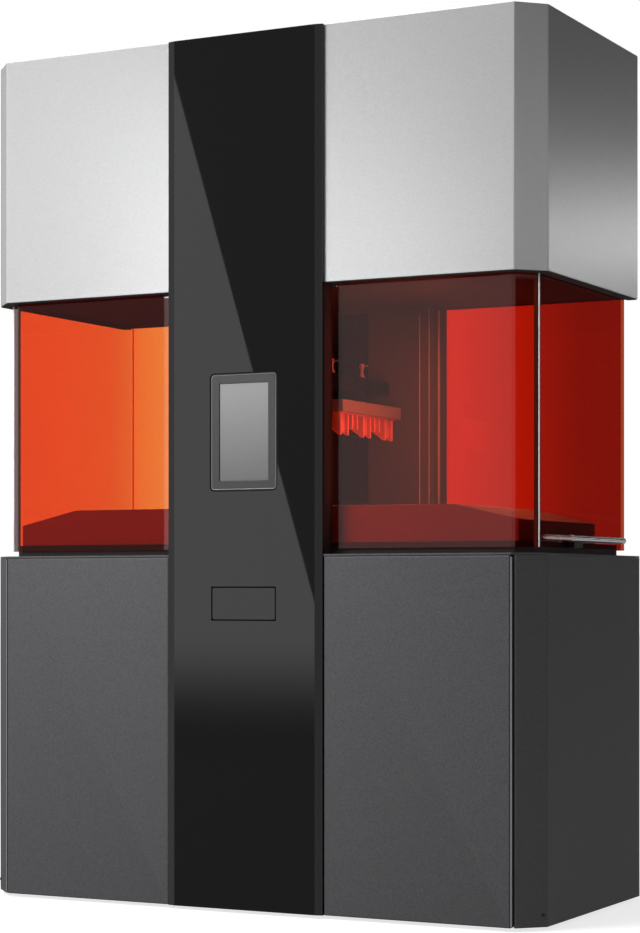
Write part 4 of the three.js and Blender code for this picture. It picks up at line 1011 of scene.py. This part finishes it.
# What shows through the windows. On the left it is a strong bluish lamp, whose red stays below 1.75.
BEHIND = [
    (-180, 1.0), (-163, 0.5), (-157.7, 0.55), (-157.3, 1.15), (-153.5, 1.3), (-151, 17.0),
    (-148.4, 27.0), (-147.9, 10.0), (-146, 7.0), (-140, 7.0), (-120, 5.0), (-90, 1.2), (0, 0.5),
    (90, 0.35), (180, 1.0),
]
BRIGHTEST = 30.0
RED_LIMIT = 1.75
behind = ramp(sky, turn_share, [(share_of(a), v / BRIGHTEST) for a, v in BEHIND])
behind_full = add(sky, "Math", {0: behind, 1: BRIGHTEST}, operation="MULTIPLY")
behind_red = add(sky, "Math", {0: behind_full, 1: RED_LIMIT}, operation="MINIMUM")
bluish = {"Red": behind_red, "Green": behind_full, "Blue": behind_full}
behind_colour = add(sky, "CombineColor", bluish)
rays = add(sky, "LightPath")
panes_crossed = rays.outputs["Transparent Depth"]
clear_view = add(sky, "Math", {0: panes_crossed, 1: 0.5}, operation="LESS_THAN")
backdrop = {0: clear_view, 6: behind_colour, 7: (1, 1, 1, 1)}
seen = add(sky, "Mix", backdrop, data_type="RGBA")
by_ray = {0: rays.outputs["Is Camera Ray"], 6: lit_room, 7: seen}
wire(background, {"Color": add(sky, "Mix", by_ray, data_type="RGBA")})


def soft_light(name, place_at, aim_at, size, power, mirrored=False):
    """A square soft box that faces a point. Mirrors see it only if mirrored."""
    data = bpy.data.lights.new(name, "AREA")
    data.size = size
    data.energy = power
    lamp = put(name, data)
    lamp.location = place_at
    aim = np.array(aim_at) - np.array(place_at)
    pitch = math.atan2(math.hypot(aim[0], aim[1]), -aim[2])
    lamp.rotation_euler = (pitch, 0.0, math.atan2(aim[1], aim[0]) - math.pi / 2)
    lamp.visible_glossy = mirrored
    lamp.visible_camera = False


soft_light("key", (-0.7, -1.9, 1.6), (0.05, 0, 1.35), 0.9, 47)
soft_light("top", (-0.8, -0.9, 4.6), (0, 0, 0), 2.6, 70, True)
soft_light("chamber fill", (0.42, -0.08, 1.34), (0.3, -0.2, 0.8), 0.3, 6.5)
soft_light("print fill", (0.45, -0.2, 0.98), (0.05, 0.0, 1.05), 0.1, 2.2)


CARD_Y = -3.303


def card(name, corners, strength, feather):
    """An upright card of light in the plane y = CARD_Y that only mirrors see. Its strength falls off
    to nothing over feather metres at its lower edge."""
    mesh = bpy.data.meshes.new(name)
    mesh.from_pydata([(x, CARD_Y, z) for x, z in corners], [], [tuple(range(len(corners)))])
    thing = put(name, mesh)
    glow, tree, shader, spot = finish_of(name, {})
    tree.nodes.remove(shader)
    height = add(tree, "SeparateXYZ", {"Vector": spot}).outputs["Z"]
    foot = min(z for x, z in corners)
    seam = {"Value": height, "From Min": foot, "From Max": foot + feather}
    rise = add(tree, "MapRange", {**seam, "To Max": strength}, interpolation_type="SMOOTHSTEP")
    light = add(tree, "Emission", {"Strength": rise})
    dark = add(tree, "BsdfTransparent")
    share = add(tree, "MapRange", seam, interpolation_type="SMOOTHSTEP")
    both = add(tree, "MixShader", {0: share, 1: dark, 2: light})
    wire(tree.nodes["Material Output"], {"Surface": both})
    mesh.materials.append(glow)
    thing.visible_camera = False
    thing.visible_diffuse = False
    thing.visible_transmission = False
    thing.visible_shadow = False
    thing.visible_volume_scatter = False


COLUMN_CARD = [(-2.05, 0.05), (-1.198, 0.05), (-1.985, 2.67), (-2.05, 2.67)]
card("column card", COLUMN_CARD, 1.45, 0.5)
card("window card", rectangle(-1.33, -0.55, 0.6, 2.1), 0.65, 0.2)
